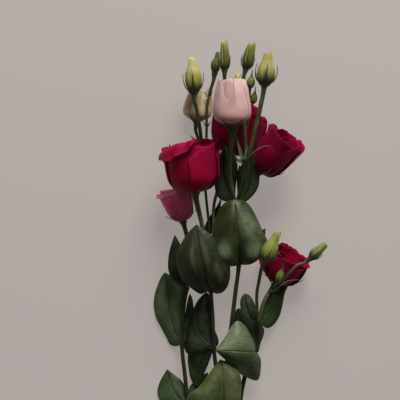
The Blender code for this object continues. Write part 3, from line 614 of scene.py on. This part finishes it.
def petal(real, facing, half_angle, side_on, radius, height, slant, frill, seed,
          corner=0.14, claw=0.42, tuck=0.0):
    """One petal, spread round the flower from its claw to its frilled rim.

    Corner rounds its rim off at the sides, claw is how far up it stays narrow, and tuck draws its sides in.
    """
    point = along_profile(side_on)
    phase = seed * 2.4

    def place(u, v):
        top = 1 - corner * abs(u) ** 2.6 - 0.02 * (1 + math.sin(phase + 2.2 * u))
        t = v * top
        r, h = point(t)
        r, h = r * radius, h * height * (1 + slant * u)
        narrow = min(1, (t / claw) ** 0.7) if t > 0 else 0
        angle = math.radians(facing + u * half_angle * (0.40 + 0.60 * narrow))
        rim = max(0, (t - 0.5) / 0.5) ** 2
        r += 0.9 * u * MM - tuck * radius * abs(u) ** 3
        r -= 0.025 * radius * math.cos(math.pi * u) * (1 - rim)
        wave = math.sin(5.2 * u + phase) + 0.5 * math.sin(11.3 * u + 1.7 * phase)
        crimp = math.sin(23 * u + phase) * max(0, (t - 0.8) / 0.2) ** 2
        r += frill * MM * (rim * wave + 0.35 * crimp)
        h += frill * MM * (rim * 0.5 * math.sin(8.1 * u + 0.9 * phase) + 0.25 * crimp)
        return real(r * math.cos(angle), r * math.sin(angle), h)

    piece = sheet("petal", PETAL_COLUMNS, PETAL_ROWS, place)
    # The seed's last digit goes into the UV, where the finish reads it as a step of painted shade.
    for corner_uv in piece.data.uv_layers.active.data:
        corner_uv.uv.y = seed % 10 + 0.005 + 0.99 * corner_uv.uv.y
    return thicken(piece, PETAL_THICKNESS)


def reach_along(profile, radius, length, ease=1.0, steps=40):
    """How far a flower's skin stands from its axis at each height, for the sepals to follow."""
    outline = along_profile(profile)

    def radius_at(h):
        t = next((k / steps for k in range(steps) if outline(k / steps)[1] * length >= h), 1)
        return outline(t)[0] * radius * ease

    return radius_at


def sepals(real, length, half_width, stand_off, first, radius_at, flat=1):
    """Five thin, keeled sepals round the calyx that follow the petals and then stand off."""
    made = []
    for k in range(SEPAL_COUNT):
        angle = math.radians(first + 360 / SEPAL_COUNT * k)

        def place(u, v):
            h = v * length * MM
            reach = max(CALYX_RADIUS * 0.85, radius_at(h) + 0.3 * MM / flat)
            reach += stand_off * MM * v**2.2 + 0.35 * MM * (1 - abs(u))
            belly = 0.75 + 0.9 * math.sin(math.pi * min(1, v * 1.6))
            half = half_width * MM * (1 - v) ** 0.75 * belly + 0.12 * MM
            sway = 0.6 * MM * v**2 * math.sin(3 * k + length)
            x, y = reach, u * half + sway
            return real(
                x * math.cos(angle) - y * math.sin(angle), x * math.sin(angle) + y * math.cos(angle), h)

        made.append(thicken(sheet("sepal", 4, 16, place), SEPAL_THICKNESS))
    return made


def stalk(flower, details, real, way, radius_at):
    """A stalk, the calyx that it swells into, and the sepals of that calyx."""
    places, radius = details["stalk"]
    foot = at(details["foot"])
    way = way.normalized()
    neck = foot - way * CALYX_LENGTH
    route = smooth_route([*[at(p) for p in places], neck - way * CALYX_LENGTH * 1.5], STALK_STEPS)
    cup = details.get("cup", CALYX_RADIUS / MM)
    wide = max(radius * 1.05, cup * 0.55)
    radii = []
    for i in range(STALK_STEPS + 1):
        slender = STALK_FOOT_RADIUS + (radius - STALK_FOOT_RADIUS) * min(1, i / 4)
        radii.append((slender + (wide - radius) * (i / STALK_STEPS) ** 5) * MM)
    route += [neck, foot - way * CALYX_LENGTH * 0.5, foot, foot + way * 0.5 * MM]
    radii += [max(wide * 1.1, cup * 0.72) * MM, cup * 0.9 * MM, cup * MM, cup * 0.7 * MM]
    stem = tube("stem", route, radii, STALK_SIDES)
    length, half_width, stand_off, first = details["sepals"]
    leaves = sepals(real, length, half_width, stand_off, first, radius_at, details["flat"])
    piece = joined(flower + "_stalk_and_calyx", [stem, *leaves])
    settle(piece, flower + "_stalk", "stalk", stalk_finish)


def petal_finish(name, deep, lit, rim_colour, painted_shade_colour, veins, roughness, base=None):
    """Soft petal skin: fine long veins, a paler or deeper rim, a velvet sheen, painted shade by the seed's last
    digit, and, where given, a darker foot, partly its own colour and partly painted shade.
    """
    skin = Finish(name, roughness, **{
        "Sheen Weight": 0.25, "Sheen Roughness": 0.5, "Sheen Tint": (*rim_colour, 1),
        "Specular IOR Level": 0.12})
    across, tiled = skin.grown()
    # Painted shade: the whole part of the UV's height is the seed's last digit, and each step darkens the petal
    # towards the painted shade colour.
    depth = skin.node("ShaderNodeMath", {"operation": "FLOOR"}, {0: tiled})
    along = tiled - depth
    grain = skin.noise(90, 3) - 0.5
    lines = skin.node("ShaderNodeCombineXYZ", {}, {"X": across * 14 + grain * 0.8, "Y": along * 1.3})
    streaks = skin.noise(1.0, 3, lines)
    tone = (streaks * veins * 2 + grain * 0.6 + along * 0.35 + 0.25 - veins).within(0.05, 0.95)
    colour = skin.mix(depth * 0.1, skin.mix(tone, deep, lit), painted_shade_colour)
    rim = (along + grain * 0.05).within(0.93, 0.995)
    colour = skin.mix(rim * 0.5, colour, rim_colour)
    # Darker towards the foot: partly the petals' own browner base and partly painted shade under the swollen
    # base.
    if base:
        colour = skin.mix(1 - (along + grain * 0.1).within(0.14, 0.42), colour, base)
    return skin.finish(colour, streaks * veins + grain * 0.4, 0.0006)


stalk_finish = stem_finish("stalk_green", (0.026, 0.034, 0.009), (0.098, 0.112, 0.038))
crimson = petal_finish(
    "crimson_petal", (0.180, 0.0006, 0.016), (0.380, 0.0010, 0.040), (0.52, 0.010, 0.10),
    (0.040, 0.0008, 0.008), 0.3, 0.55)
heart_crimson = petal_finish(
    "heart_crimson_petal", (0.190, 0.0006, 0.018), (0.400, 0.0010, 0.044), (0.52, 0.008, 0.10),
    (0.040, 0.0008, 0.008), 0.3, 0.6)

for flower, details in RED_FLOWERS.items():
    way, flat = Vector(details["way"]), details["flat"]
    real = standing(at(details["foot"]), way, flat)
    radius, height = details["radius"] * MM, details["height"] * MM
    stalk(flower, details, real, way, reach_along(FULL, radius, height))
    for whorl, finish, slot in (("outer", crimson, "red_petal"), ("inner", heart_crimson, "red_heart")):
        drawn = [
            petal(real, facing, half, side_on, radius * reach, height * rise, slant, frill, seed,
                  0.05 if side_on is EDGED else 0.14)
            for facing, half, side_on, reach, rise, slant, frill, seed in details[whorl]]
        settle(joined(f"{flower}_{whorl}_whorl", drawn), f"{flower}_{whorl}_petals", slot, finish)


# ---- Half-open flowers ----
# A rose pink, a pale pink and a cream flower, whose petals still stand wrapped round one another like
# a rosebud. The pale pink one is the fullest: its front petal is folded over a swollen base, brownish partly
# in its own colour and partly as painted shade, and its outer petals lap it from the left and the right.
WRAPPED = [(0.14, 0), (0.34, 0.06), (0.60, 0.12), (0.88, 0.19), (0.98, 0.28), (1.0, 0.38), (0.95, 0.55),
           (0.86, 0.74), (0.74, 0.90), (0.67, 1.0)]
FOLDED = [(0.14, 0), (0.36, 0.06), (0.68, 0.12), (0.97, 0.18), (1.07, 0.24), (1.075, 0.30), (1.04, 0.36),
          (0.985, 0.42), (0.94, 0.54), (0.87, 0.70), (0.76, 0.88), (0.68, 1.0)]
OPENING = [(0.18, 0), (0.50, 0.05), (0.72, 0.16), (0.84, 0.34), (0.92, 0.58), (0.97, 0.82), (0.96, 1.0)]
CURLED = [(0.18, 0), (0.46, 0.06), (0.66, 0.17), (0.80, 0.34), (0.90, 0.52), (1.00, 0.70), (1.10, 0.86),
          (1.18, 0.92), (1.25, 0.86), (1.26, 0.74)]
# Each flower's colours: the deeper and lighter tones of its petals, their rim, the colour of painted shade that
# the seed's last digit darkens them towards, and their foot, which is partly their own browner base and partly
# painted shade.
HALF_OPEN_FLOWERS = {
    "pale_pink": {
        "foot": (-7.2, 161.4, 67), "way": (-1.3, 52, 5), "flat": 1, "radius": 18.4, "height": 49,
        "stalk": ([(-3.8, 90.5, 34.6), (-9, 113.5, 43), (-9.5, 135, 56)], 2.2), "cup": 5.0,
        "sepals": (9, 4.2, 0.0, 54),
        "petals": [
            (270, 66, WRAPPED, 0.96, 0.98, 0, 0.5, 12), (335, 58, WRAPPED, 0.98, 0.96, 0, 0.5, 22),
            (215, 56, WRAPPED, 0.98, 0.98, 0, 0.5, 33), (90, 58, FOLDED, 0.93, 0.985, 0.05, 0.9, 15),
            (160, 58, WRAPPED, 1.02, 1.01, 0, 1.3, 51), (22, -60, WRAPPED, 0.99, 1.0, 0, 1.3, 60)],
        "core": [
            (60, 70, WRAPPED, 0.80, 1.0, 0, 0.6, 73), (180, 70, WRAPPED, 0.78, 1.0, 0, 0.6, 84),
            (300, 70, WRAPPED, 0.76, 0.99, 0, 0.6, 93), (0, 80, WRAPPED, 0.58, 0.98, 0, 0.5, 103),
            (180, 80, WRAPPED, 0.54, 0.98, 0, 0.5, 114)],
        "colours": ((0.52, 0.29, 0.27), (0.80, 0.54, 0.52), (0.86, 0.66, 0.62), (0.34, 0.19, 0.13),
                    (0.16, 0.095, 0.045)),
    },
    "pink": {
        "foot": (-56.3, 70, 16.7), "way": (-8.5, 34, 1.6), "flat": 0.8, "radius": 16.2, "height": 36.5,
        "stalk": ([(-51.8, 1.8, 14.8), (-50, 31.5, 17), (-52.5, 54, 16)], 2.0), "cup": 4.2,
        "sepals": (9, 1.3, 0.0, 54),
        "petals": [
            (265, 60, OPENING, 0.98, 0.98, 0, 0.9, 11), (330, 56, OPENING, 0.98, 0.97, 0, 0.9, 22),
            (215, 56, OPENING, 1.0, 0.97, 0, 1.0, 31), (145, 60, CURLED, 1.02, 0.98, 0.0, 1.3, 40),
            (38, 56, OPENING, 0.99, 0.98, 0, 0.9, 54), (95, 60, OPENING, 1.0, 0.99, 0.02, 0.8, 63)],
        "core": [
            (60, 70, INNER, 1.0, 0.98, 0, 0.9, 72), (180, 70, INNER, 0.97, 0.97, 0, 0.9, 81),
            (300, 70, INNER, 0.94, 0.97, 0, 0.9, 92), (110, 70, HEART, 1.1, 0.95, 0, 0.9, 102),
            (290, 70, HEART, 1.0, 0.95, 0, 0.9, 112)],
        # The pink's pale rim colour is partly painted highlight, where its curled lip catches the light.
        "colours": ((0.66, 0.035, 0.125), (1.0, 0.21, 0.36), (1.0, 0.62, 0.70), (0.24, 0.02, 0.05),
                    (0.42, 0.04, 0.09)),
    },
    "cream": {
        "foot": (-42.8, 171, 11.9), "way": (4, 34.5, 1.5), "flat": 0.82, "radius": 13.9, "height": 35.5,
        "stalk": ([(-36.8, 138.5, 5.6), (-41, 154.5, 8)], 1.5),
        "sepals": (9, 1.3, 0.0, 126),
        "petals": [
            (268, 62, WRAPPED, 0.96, 0.97, 0, 0.5, 41), (325, 56, WRAPPED, 0.98, 0.97, 0, 0.5, 52),
            (210, 56, WRAPPED, 1.0, 0.98, 0, 0.5, 63), (90, 54, WRAPPED, 0.97, 0.98, 0, 0.4, 75),
            (150, 54, WRAPPED, 1.04, 0.97, 0, 0.5, 82), (30, -54, WRAPPED, 1.03, 1.0, 0, 0.7, 91)],
        "core": [
            (60, 70, WRAPPED, 0.76, 0.98, 0, 0.5, 103), (180, 70, WRAPPED, 0.74, 0.97, 0, 0.5, 113),
            (300, 70, WRAPPED, 0.70, 0.97, 0, 0.5, 123)],
        "colours": ((0.50, 0.38, 0.20), (0.76, 0.64, 0.43), (0.80, 0.70, 0.52), (0.26, 0.17, 0.09),
                    (0.16, 0.10, 0.035)),
    },
}
for flower, details in HALF_OPEN_FLOWERS.items():
    way, flat = Vector(details["way"]), details["flat"]
    real = standing(at(details["foot"]), way, flat)
    radius, height = details["radius"] * MM, details["height"] * MM
    stalk(flower, details, real, way, reach_along(WRAPPED, radius, height, 1.02))
    drawn = [
        petal(real, facing, half, side_on, radius * reach, height * rise, slant, frill, seed,
              0.08, 0.75, 0.07)
        for facing, half, side_on, reach, rise, slant, frill, seed in details["petals"] + details["core"]]
    deep, lit, rim_colour, painted_shade_colour, base = details["colours"]
    skin = petal_finish(flower + "_petal", deep, lit, rim_colour, painted_shade_colour, 0.2, 0.5, base)
    settle(joined(flower + "_wrapped_petals", drawn), flower + "_petals", flower + "_petal", skin)


# ---- Larger buds ----
# Buds whose petals have outgrown the calyx but are still twisted shut, each petal lapping the next in
# a long spiral. They are green at the foot and turn yellow-green or cream towards the twisted tip.
BUD_SIDES = 60
BUD_RINGS = 44
BUD_PETALS = 5
PLUMP = [(0, 0), (0.36, 0), (0.46, 0.07), (0.76, 0.18), (0.94, 0.29), (1.0, 0.43), (0.87, 0.60),
         (0.63, 0.74), (0.48, 0.87), (0.38, 0.96), (0.18, 1.0), (0, 0.985)]
BLUNT = [(0, 0), (0.36, 0), (0.47, 0.07), (0.85, 0.20), (1.0, 0.36), (0.90, 0.52), (0.68, 0.66),
         (0.53, 0.78), (0.46, 0.89), (0.40, 0.96), (0.24, 1.0), (0, 0.985)]
SLIM = [(0, 0), (0.38, 0), (0.62, 0.06), (0.92, 0.18), (1.0, 0.32), (0.94, 0.52), (0.82, 0.72),
        (0.74, 0.86), (0.66, 0.955), (0.42, 1.0), (0, 0.96)]
# Each bud: foot, tip, radius, side-on shape, how far it twists, its stalk, its sepals, and the
# colours of its foot, its middle and its tip.
BUDS = {
    "bud_1": ((-45.2, 197.5, 34), (-46.5, 234.5, 36), 8.75, PLUMP, 50, (
        [(-37.3, 138.5, 8.4), (-38, 154.5, 15.5), (-40, 169.5, 24), (-43, 186, 31.5)], 1.9),
        (21, 1.5, 2.2, 90), ((0.060, 0.075, 0.012), (0.34, 0.33, 0.07), (0.68, 0.62, 0.29))),
    "bud_2": ((-24.2, 219.5, 28), (-21, 240.5, 29), 4.25, PLUMP, 60, (
        [(-34.6, 138.5, 8), (-32.5, 155.5, 14), (-32, 181.5, 24), (-30.5, 195, 26)], 1.3),
        (12, 1.1, 0.6, 60), ((0.060, 0.085, 0.016), (0.14, 0.18, 0.040), (0.10, 0.11, 0.030))),
    "bud_3": ((-14.6, 220.5, 48), (-14.5, 248.5, 49), 4.8, SLIM, 45, (
        [(4.4, 130.5, 45), (0.5, 142, 45), (-3.5, 154, 45), (-10, 181.5, 46), (-14.5, 209, 46)], 1.7),
        (14, 1.1, 0.6, 90), ((0.040, 0.046, 0.009), (0.15, 0.135, 0.026), (0.58, 0.56, 0.17))),
    "bud_4": ((6.4, 221.5, 48), (13, 246.5, 49), 5.75, SLIM, 55, (
        [(6.4, 130.5, 44.4), (6.2, 151.5, 45), (5, 178, 45), (5, 205, 46)], 1.7),
        (13, 1.2, 0.8, 100), ((0.040, 0.046, 0.009), (0.12, 0.12, 0.022), (0.42, 0.44, 0.10))),
    "bud_5": ((24.3, 203.5, 57), (28.7, 236.8, 58), 9.4, BLUNT, 60, (
        [(7.7, 130.5, 46.6), (12, 146.5, 51), (19, 176, 55)], 2.2),
        (22, 1.6, 3.2, 90), ((0.040, 0.056, 0.010), (0.33, 0.31, 0.08), (0.46, 0.43, 0.13))),
    "bud_9": ((25, 29.5, 46), (38.6, 59.8, 52), 8, BLUNT, 60, (
        [(19.2, -31.8, 24.2), (18.2, -5, 31), (20, 10, 38)], 1.7),
        (17, 1.1, 1, 90), ((0.090, 0.115, 0.022), (0.27, 0.30, 0.055), (0.40, 0.43, 0.10))),
    "bud_10": ((71.4, 33.5, 42), (87, 47.5, 42), 4.7, SLIM, 50, (
        [(31.5, -3.5, 10.8), (37.2, 0.2, 27), (44, 11, 41), (50, 19, 45), (58, 26.5, 44)], 1.2),
        (11, 0.9, 0.6, 90), ((0.070, 0.095, 0.020), (0.20, 0.24, 0.055), (0.36, 0.39, 0.11))),
}


# How far each petal's edge stands off, and how strongly the painted shade under it and its pale edge are
# marked, as usual and on the buds that differ.
USUAL_LEDGE = (0.16, 0.6)
LEDGES = {"bud_1": (0.05, 0.15), "bud_3": (0.24, 0.5), "bud_4": (0.24, 0.5), "bud_5": (0.07, 0.2),
          "bud_9": (0.10, 0.35)}


def bud_body(real, radius, length, side_on, twist, ledge):
    """A closed bud of petals, each of which laps the next in a spiral ledge."""
    point = along_profile(side_on)
    bpy.ops.object.select_all(action="DESELECT")
    bpy.ops.mesh.primitive_uv_sphere_add(segments=BUD_SIDES, ring_count=BUD_RINGS, radius=1)
    body = bpy.context.object
    for vertex in body.data.vertices:
        x, y, z = vertex.co
        v = math.acos(max(-1, min(1, -z))) / math.pi
        own = math.atan2(y, x) % (2 * math.pi)
        r, h = point(v)
        step = (own * BUD_PETALS / (2 * math.pi)) % 1.0
        # Each petal climbs away from the axis to its free edge, where the next one dives under it.
        r *= 1 + ledge * (step - 0.5) * min(1, 4 * v) - 0.04 * math.sin(math.pi * step)
        if 0.72 < v < 0.995:
            lip = math.sin(math.pi * (v - 0.72) / 0.28) * (0.4 + 0.6 * abs(math.sin(2.3 * own)))
            h += max(0.075, 0.5 * ledge) * lip * (step - 0.45)
            r *= 1 + 0.12 * lip * math.sin(3 * own + 1)
        angle = own + math.radians(twist) * h
        vertex.co = real(r * radius * math.cos(angle), r * radius * math.sin(angle), h * length)
    bpy.ops.object.mode_set(mode="EDIT")
    bpy.ops.mesh.select_all(action="SELECT")
    bpy.ops.mesh.remove_doubles(threshold=0.01 * MM)
    bpy.ops.mesh.normals_make_consistent(inside=False)
    bpy.ops.object.mode_set(mode="OBJECT")
    bpy.ops.object.shade_smooth_by_angle(angle=math.radians(40))
    return body


def bud_finish(name, foot, middle, tip, edge=0.5):
    """Bud skin that ripens from its green foot to its pale tip, with veins, painted shade where each petal
    dives under the next, and a pale edge to each petal.
    """
    skin = Finish(name, 0.42, **{"Specular IOR Level": 0.3})
    across, along = skin.grown()
    grain = skin.noise(320, 3, skin.place(1, 0.35, 1)) - 0.5
    patches = skin.noise(120, 2) - 0.5
    lines = skin.node("ShaderNodeCombineXYZ", {}, {"X": across * 40 + patches * 0.6, "Y": along * 2})
    veins = skin.noise(1.0, 2, lines) - 0.5
    lap = skin.node("ShaderNodeMath", {"operation": "FRACT"}, {0: across * 2.5 + 2.5 + grain * 0.04})
    free = lap.within(0.72, 0.97)
    tucked_shade = 1 - lap.within(0.0, 0.30)
    ripe = along + grain * 0.12 + patches * 0.2 + veins * 0.2
    colour = skin.mix(ripe.within(0.20, 0.58), foot, middle)
    colour = skin.mix(ripe.within(0.50, 0.92), colour, tip)
    shade = tuple(c * 0.35 for c in foot)
    # The darker colour marks the bud's own veins, and paints shade where each petal dives under the next.
    colour = skin.mix(veins.within(0.0, 0.25) * 0.3, colour, shade)
    colour = skin.mix(tucked_shade * edge * 0.8, colour, shade)
    colour = skin.mix(free * edge * 0.6, colour, tip)
    return skin.finish(colour, veins + grain * 0.5 + free, 0.0005)


for name, (foot, tip, radius, side_on, twist, grown_on, leaves, colours) in BUDS.items():
    way = at(tip) - at(foot)
    length, radius = way.length, radius * MM
    real = standing(at(foot), way, 1)
    details = {"foot": foot, "stalk": grown_on, "sepals": leaves, "flat": 1}
    stalk(name, details, real, way, reach_along(side_on, radius, length, 1.06, 60))
    ledge, edge = LEDGES.get(name, USUAL_LEDGE)
    body = bud_body(real, radius, length, side_on, twist, ledge)
    body.name = name + "_twisted_petals"
    settle(body, name + "_petals", "bud_petal", bud_finish(name + "_skin", *colours, edge))


# ---- Small green buds ----
# The youngest buds are still shut inside their calyx: five sepals, edge to edge, that run out into
# one long thin point. Each grows with its thin stalk as one piece.
SMALL_STALK_STEPS = 24
SMALL_STALK_SIDES = 10
OPENED = [(0, 0), (0.40, 0), (0.80, 0.12), (0.98, 0.35), (1.0, 0.60), (0.86, 0.82), (0.55, 0.96), (0, 1)]
CLOSED = [(0, 0), (0.38, 0), (0.80, 0.08), (1.0, 0.24), (0.92, 0.42), (0.58, 0.56), (0.27, 0.66),
          (0.14, 0.75), (0.12, 0.92), (0.05, 1.0), (0, 1)]
# Each bud: its stalk's route, its foot, its tip, its stalk's radius and its own.
SMALL_BUDS = {
    "bud_6": ([(6.3, 160, 45.2), (8.4, 166, 46.4), (10, 182, 49.5)], (10.5, 202.5, 52), (12.8, 220.5, 53.5),
              0.9, 4.1),
    "bud_7": ([(10, 181.5, 49.4), (12, 184.5, 48)], (13.4, 187.5, 46.5), (16.6, 204.5, 45.5), 0.75, 3.6),
    "bud_8": ([(5.2, 174, 45), (2.6, 180, 45), (0.4, 190, 45)], (-1, 202, 46), (-1.3, 217.6, 46), 0.8, 3.8),
    "bud_11": ([(35.4, 0.9, 9.6), (36.6, 4.4, 28), (37.4, 7.2, 38)], (38.5, 9.5, 43), (44.6, 29, 48),
               0.9, 3.9),
}
small_bud_finish = bud_finish(
    "small_bud_green", (0.050, 0.065, 0.014), (0.190, 0.235, 0.045), (0.070, 0.080, 0.025), 0.35)
yellow_bud_finish = bud_finish("yellow_bud", (0.12, 0.15, 0.03), (0.42, 0.42, 0.09), (0.70, 0.68, 0.24), 0.2)
for name, (places, foot, tip, stalk_radius, radius) in SMALL_BUDS.items():
    way = at(tip) - at(foot)
    real = standing(at(foot), way, 1)
    route = smooth_route([*[at(p) for p in places], at(foot)], SMALL_STALK_STEPS)
    route.append(at(foot) + way.normalized() * MM)
    radii = [
        stalk_radius * MM * (1 + 0.9 * (i / SMALL_STALK_STEPS) ** 10) for i in range(SMALL_STALK_STEPS + 1)]
    radii.append(stalk_radius * 1.2 * MM)
    ripe = name == "bud_8"
    body = bud_body(real, radius * MM, way.length, OPENED if ripe else CLOSED, 12, 0.10)
    thin_stalk = tube("stem", route, radii, SMALL_STALK_SIDES)
    settle(joined(name + "_shut_calyx", [body, thin_stalk]), name, "bud_petal",
           yellow_bud_finish if ripe else small_bud_finish)


# ---- Bracts ----
# Tiny narrow leaves where the thin stalks fork, green or a greyish sage, one still folded and cream,
# one thread with a pale end, and one larger young leaf behind the stems, coloured dark as painted shade.
BRACT_STEPS = 20
# Each kind: its darker and lighter colours, then for each blade the points that it passes through
# from the stem out and half its width.
BRACTS = {
    "sage": ((0.090, 0.110, 0.070), (0.240, 0.270, 0.190), [
        ([(3.2, 131.8, 47), (0.6, 141, 48.6), (-1.8, 150, 48.6), (-3.6, 157, 48)], 1.7),
        ([(5.6, 132.3, 47.4), (6.6, 139, 49), (8.8, 146, 48.6)], 1.1),
        ([(37.5, 3, 16), (41, 4, 24), (50, 9.6, 27), (57, 10.6, 26), (64, 10.2, 24)], 0.6)]),
    "green": ((0.030, 0.040, 0.012), (0.085, 0.105, 0.034), [
        ([(3, 131.4, 46.8), (-1, 131.2, 47.4), (-3.8, 134.5, 47.8), (-5, 140, 47.6)], 0.8),
        ([(-30.8, 193.6, 26), (-33, 198, 27.5), (-35.4, 202, 28)], 0.9),
        ([(-30.4, 194.6, 26), (-27.6, 198.6, 28), (-26, 203, 28.4)], 0.8),
        ([(-32, 165.4, 19.6), (-29.4, 169.4, 22), (-27.4, 172, 22.6)], 0.8),
        ([(-32.2, 165.4, 19.6), (-34.4, 169.4, 21.4), (-36.4, 171.6, 22)], 0.8),
        ([(36, 3.5, 14), (30, 13, 19), (24, 16.6, 19), (18.6, 18, 17)], 0.6),
        ([(-40.4, 152, 8), (-45, 154, 10), (-50.6, 158.8, 11.4)], 0.9)]),
    # Painted shade: this leaf's dark greens stand for the shade it lies in.
    "shaded": ((0.009, 0.015, 0.006), (0.026, 0.038, 0.015), [
        ([(-29.6, 58, 12.6), (-26, 66, 9.5), (-21.5, 78, 8), (-17.5, 93, 7)], 7.5)]),
    "cream": ((0.30, 0.29, 0.12), (0.62, 0.58, 0.34), [
        ([(2.6, 127, 44.8), (-0.6, 129, 46.4), (-4.2, 134, 47)], 2.2),
        ([(-31, 194, 27), (-32.4, 197, 28), (-32.8, 200.4, 28)], 1.0)]),
    "thread": ((0.20, 0.10, 0.06), (0.62, 0.44, 0.30), [
        ([(7.4, 132.4, 46.6), (12, 137, 52), (18, 141.6, 58.5), (24.6, 144.4, 62.5), (30, 144.2, 63.5)], 0.5)]),
}
for kind, (shade, light, drawn) in BRACTS.items():
    blades = []
    for places, half in drawn:
        route = smooth_route([at(place) for place in places], BRACT_STEPS)

        def bract_place(u, v):
            i = round(v * BRACT_STEPS)
            k = min(i, BRACT_STEPS - 1)
            aside = (route[k + 1] - route[k]).cross(UP).normalized()
            taper = (1 - v) ** 0.6 * (0.55 + 0.6 * math.sin(math.pi * min(1, 0.15 + v)))
            return route[i] + aside * u * half * MM * taper + UP * 0.5 * half * MM * abs(u) * taper

        blades.append(thicken(sheet("bract", 6, BRACT_STEPS, bract_place), SEPAL_THICKNESS))
    piece = joined(kind + "_bracts", blades)
    piece.data.materials.clear()
    piece.data.materials.append(stem_finish(kind + "_bract", shade, light))
    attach(piece, "root")


# ---- Floor, light and camera ----
# A plain pale floor that glows a little, like a light table, a broad soft light from the top right,
# a weak even fill, and a camera that looks straight down at the spray as it lies.
bpy.ops.object.select_all(action="DESELECT")
bpy.ops.mesh.primitive_plane_add(size=6)
floor = bpy.context.object
floor.name = "floor"
paper = Finish("floor_paper", 0.9, **{"Emission Strength": 0.285, "Specular IOR Level": 0.1})
tint = paper.mix(paper.noise(1.5, 1), (0.200, 0.181, 0.171), (0.215, 0.195, 0.184))
floor.data.materials.append(paper.finish(
    tint, paper.noise(300, 2), 0.00005, **{"Emission Color": (1.0, 0.905, 0.86, 1)}))

for name, place, width, power in (
    ("window", (0.42, 2.10, 1.35), 1.2, 76), ("ceiling", (-0.5, 0.3, 2.6), 1.4, 5),
):
    bpy.ops.object.light_add(type="AREA", location=place)
    light = bpy.context.object
    light.name = name
    light.data.size = width
    light.data.energy = power
    light.data.color = (1.0, 0.985, 0.965)
    light.rotation_euler = (Vector((0, 0.05, 0.04)) - light.location).to_track_quat("-Z", "Y").to_euler()

bpy.context.scene.world = bpy.data.worlds.new("studio")
bpy.context.scene.world.use_nodes = True
sky = bpy.context.scene.world.node_tree.nodes["Background"].inputs
sky["Color"].default_value = (1.0, 0.97, 0.95, 1)
sky["Strength"].default_value = 0.07

bpy.ops.object.camera_add(location=(-0.039, 0.0915, 1.24), rotation=(0, 0, 0))
camera = bpy.context.object
camera.data.lens = 108
camera.data.sensor_width = 36
camera.data.clip_start = 0.01
bpy.context.scene.camera = camera
bpy.context.scene.view_settings.view_transform = "Standard"
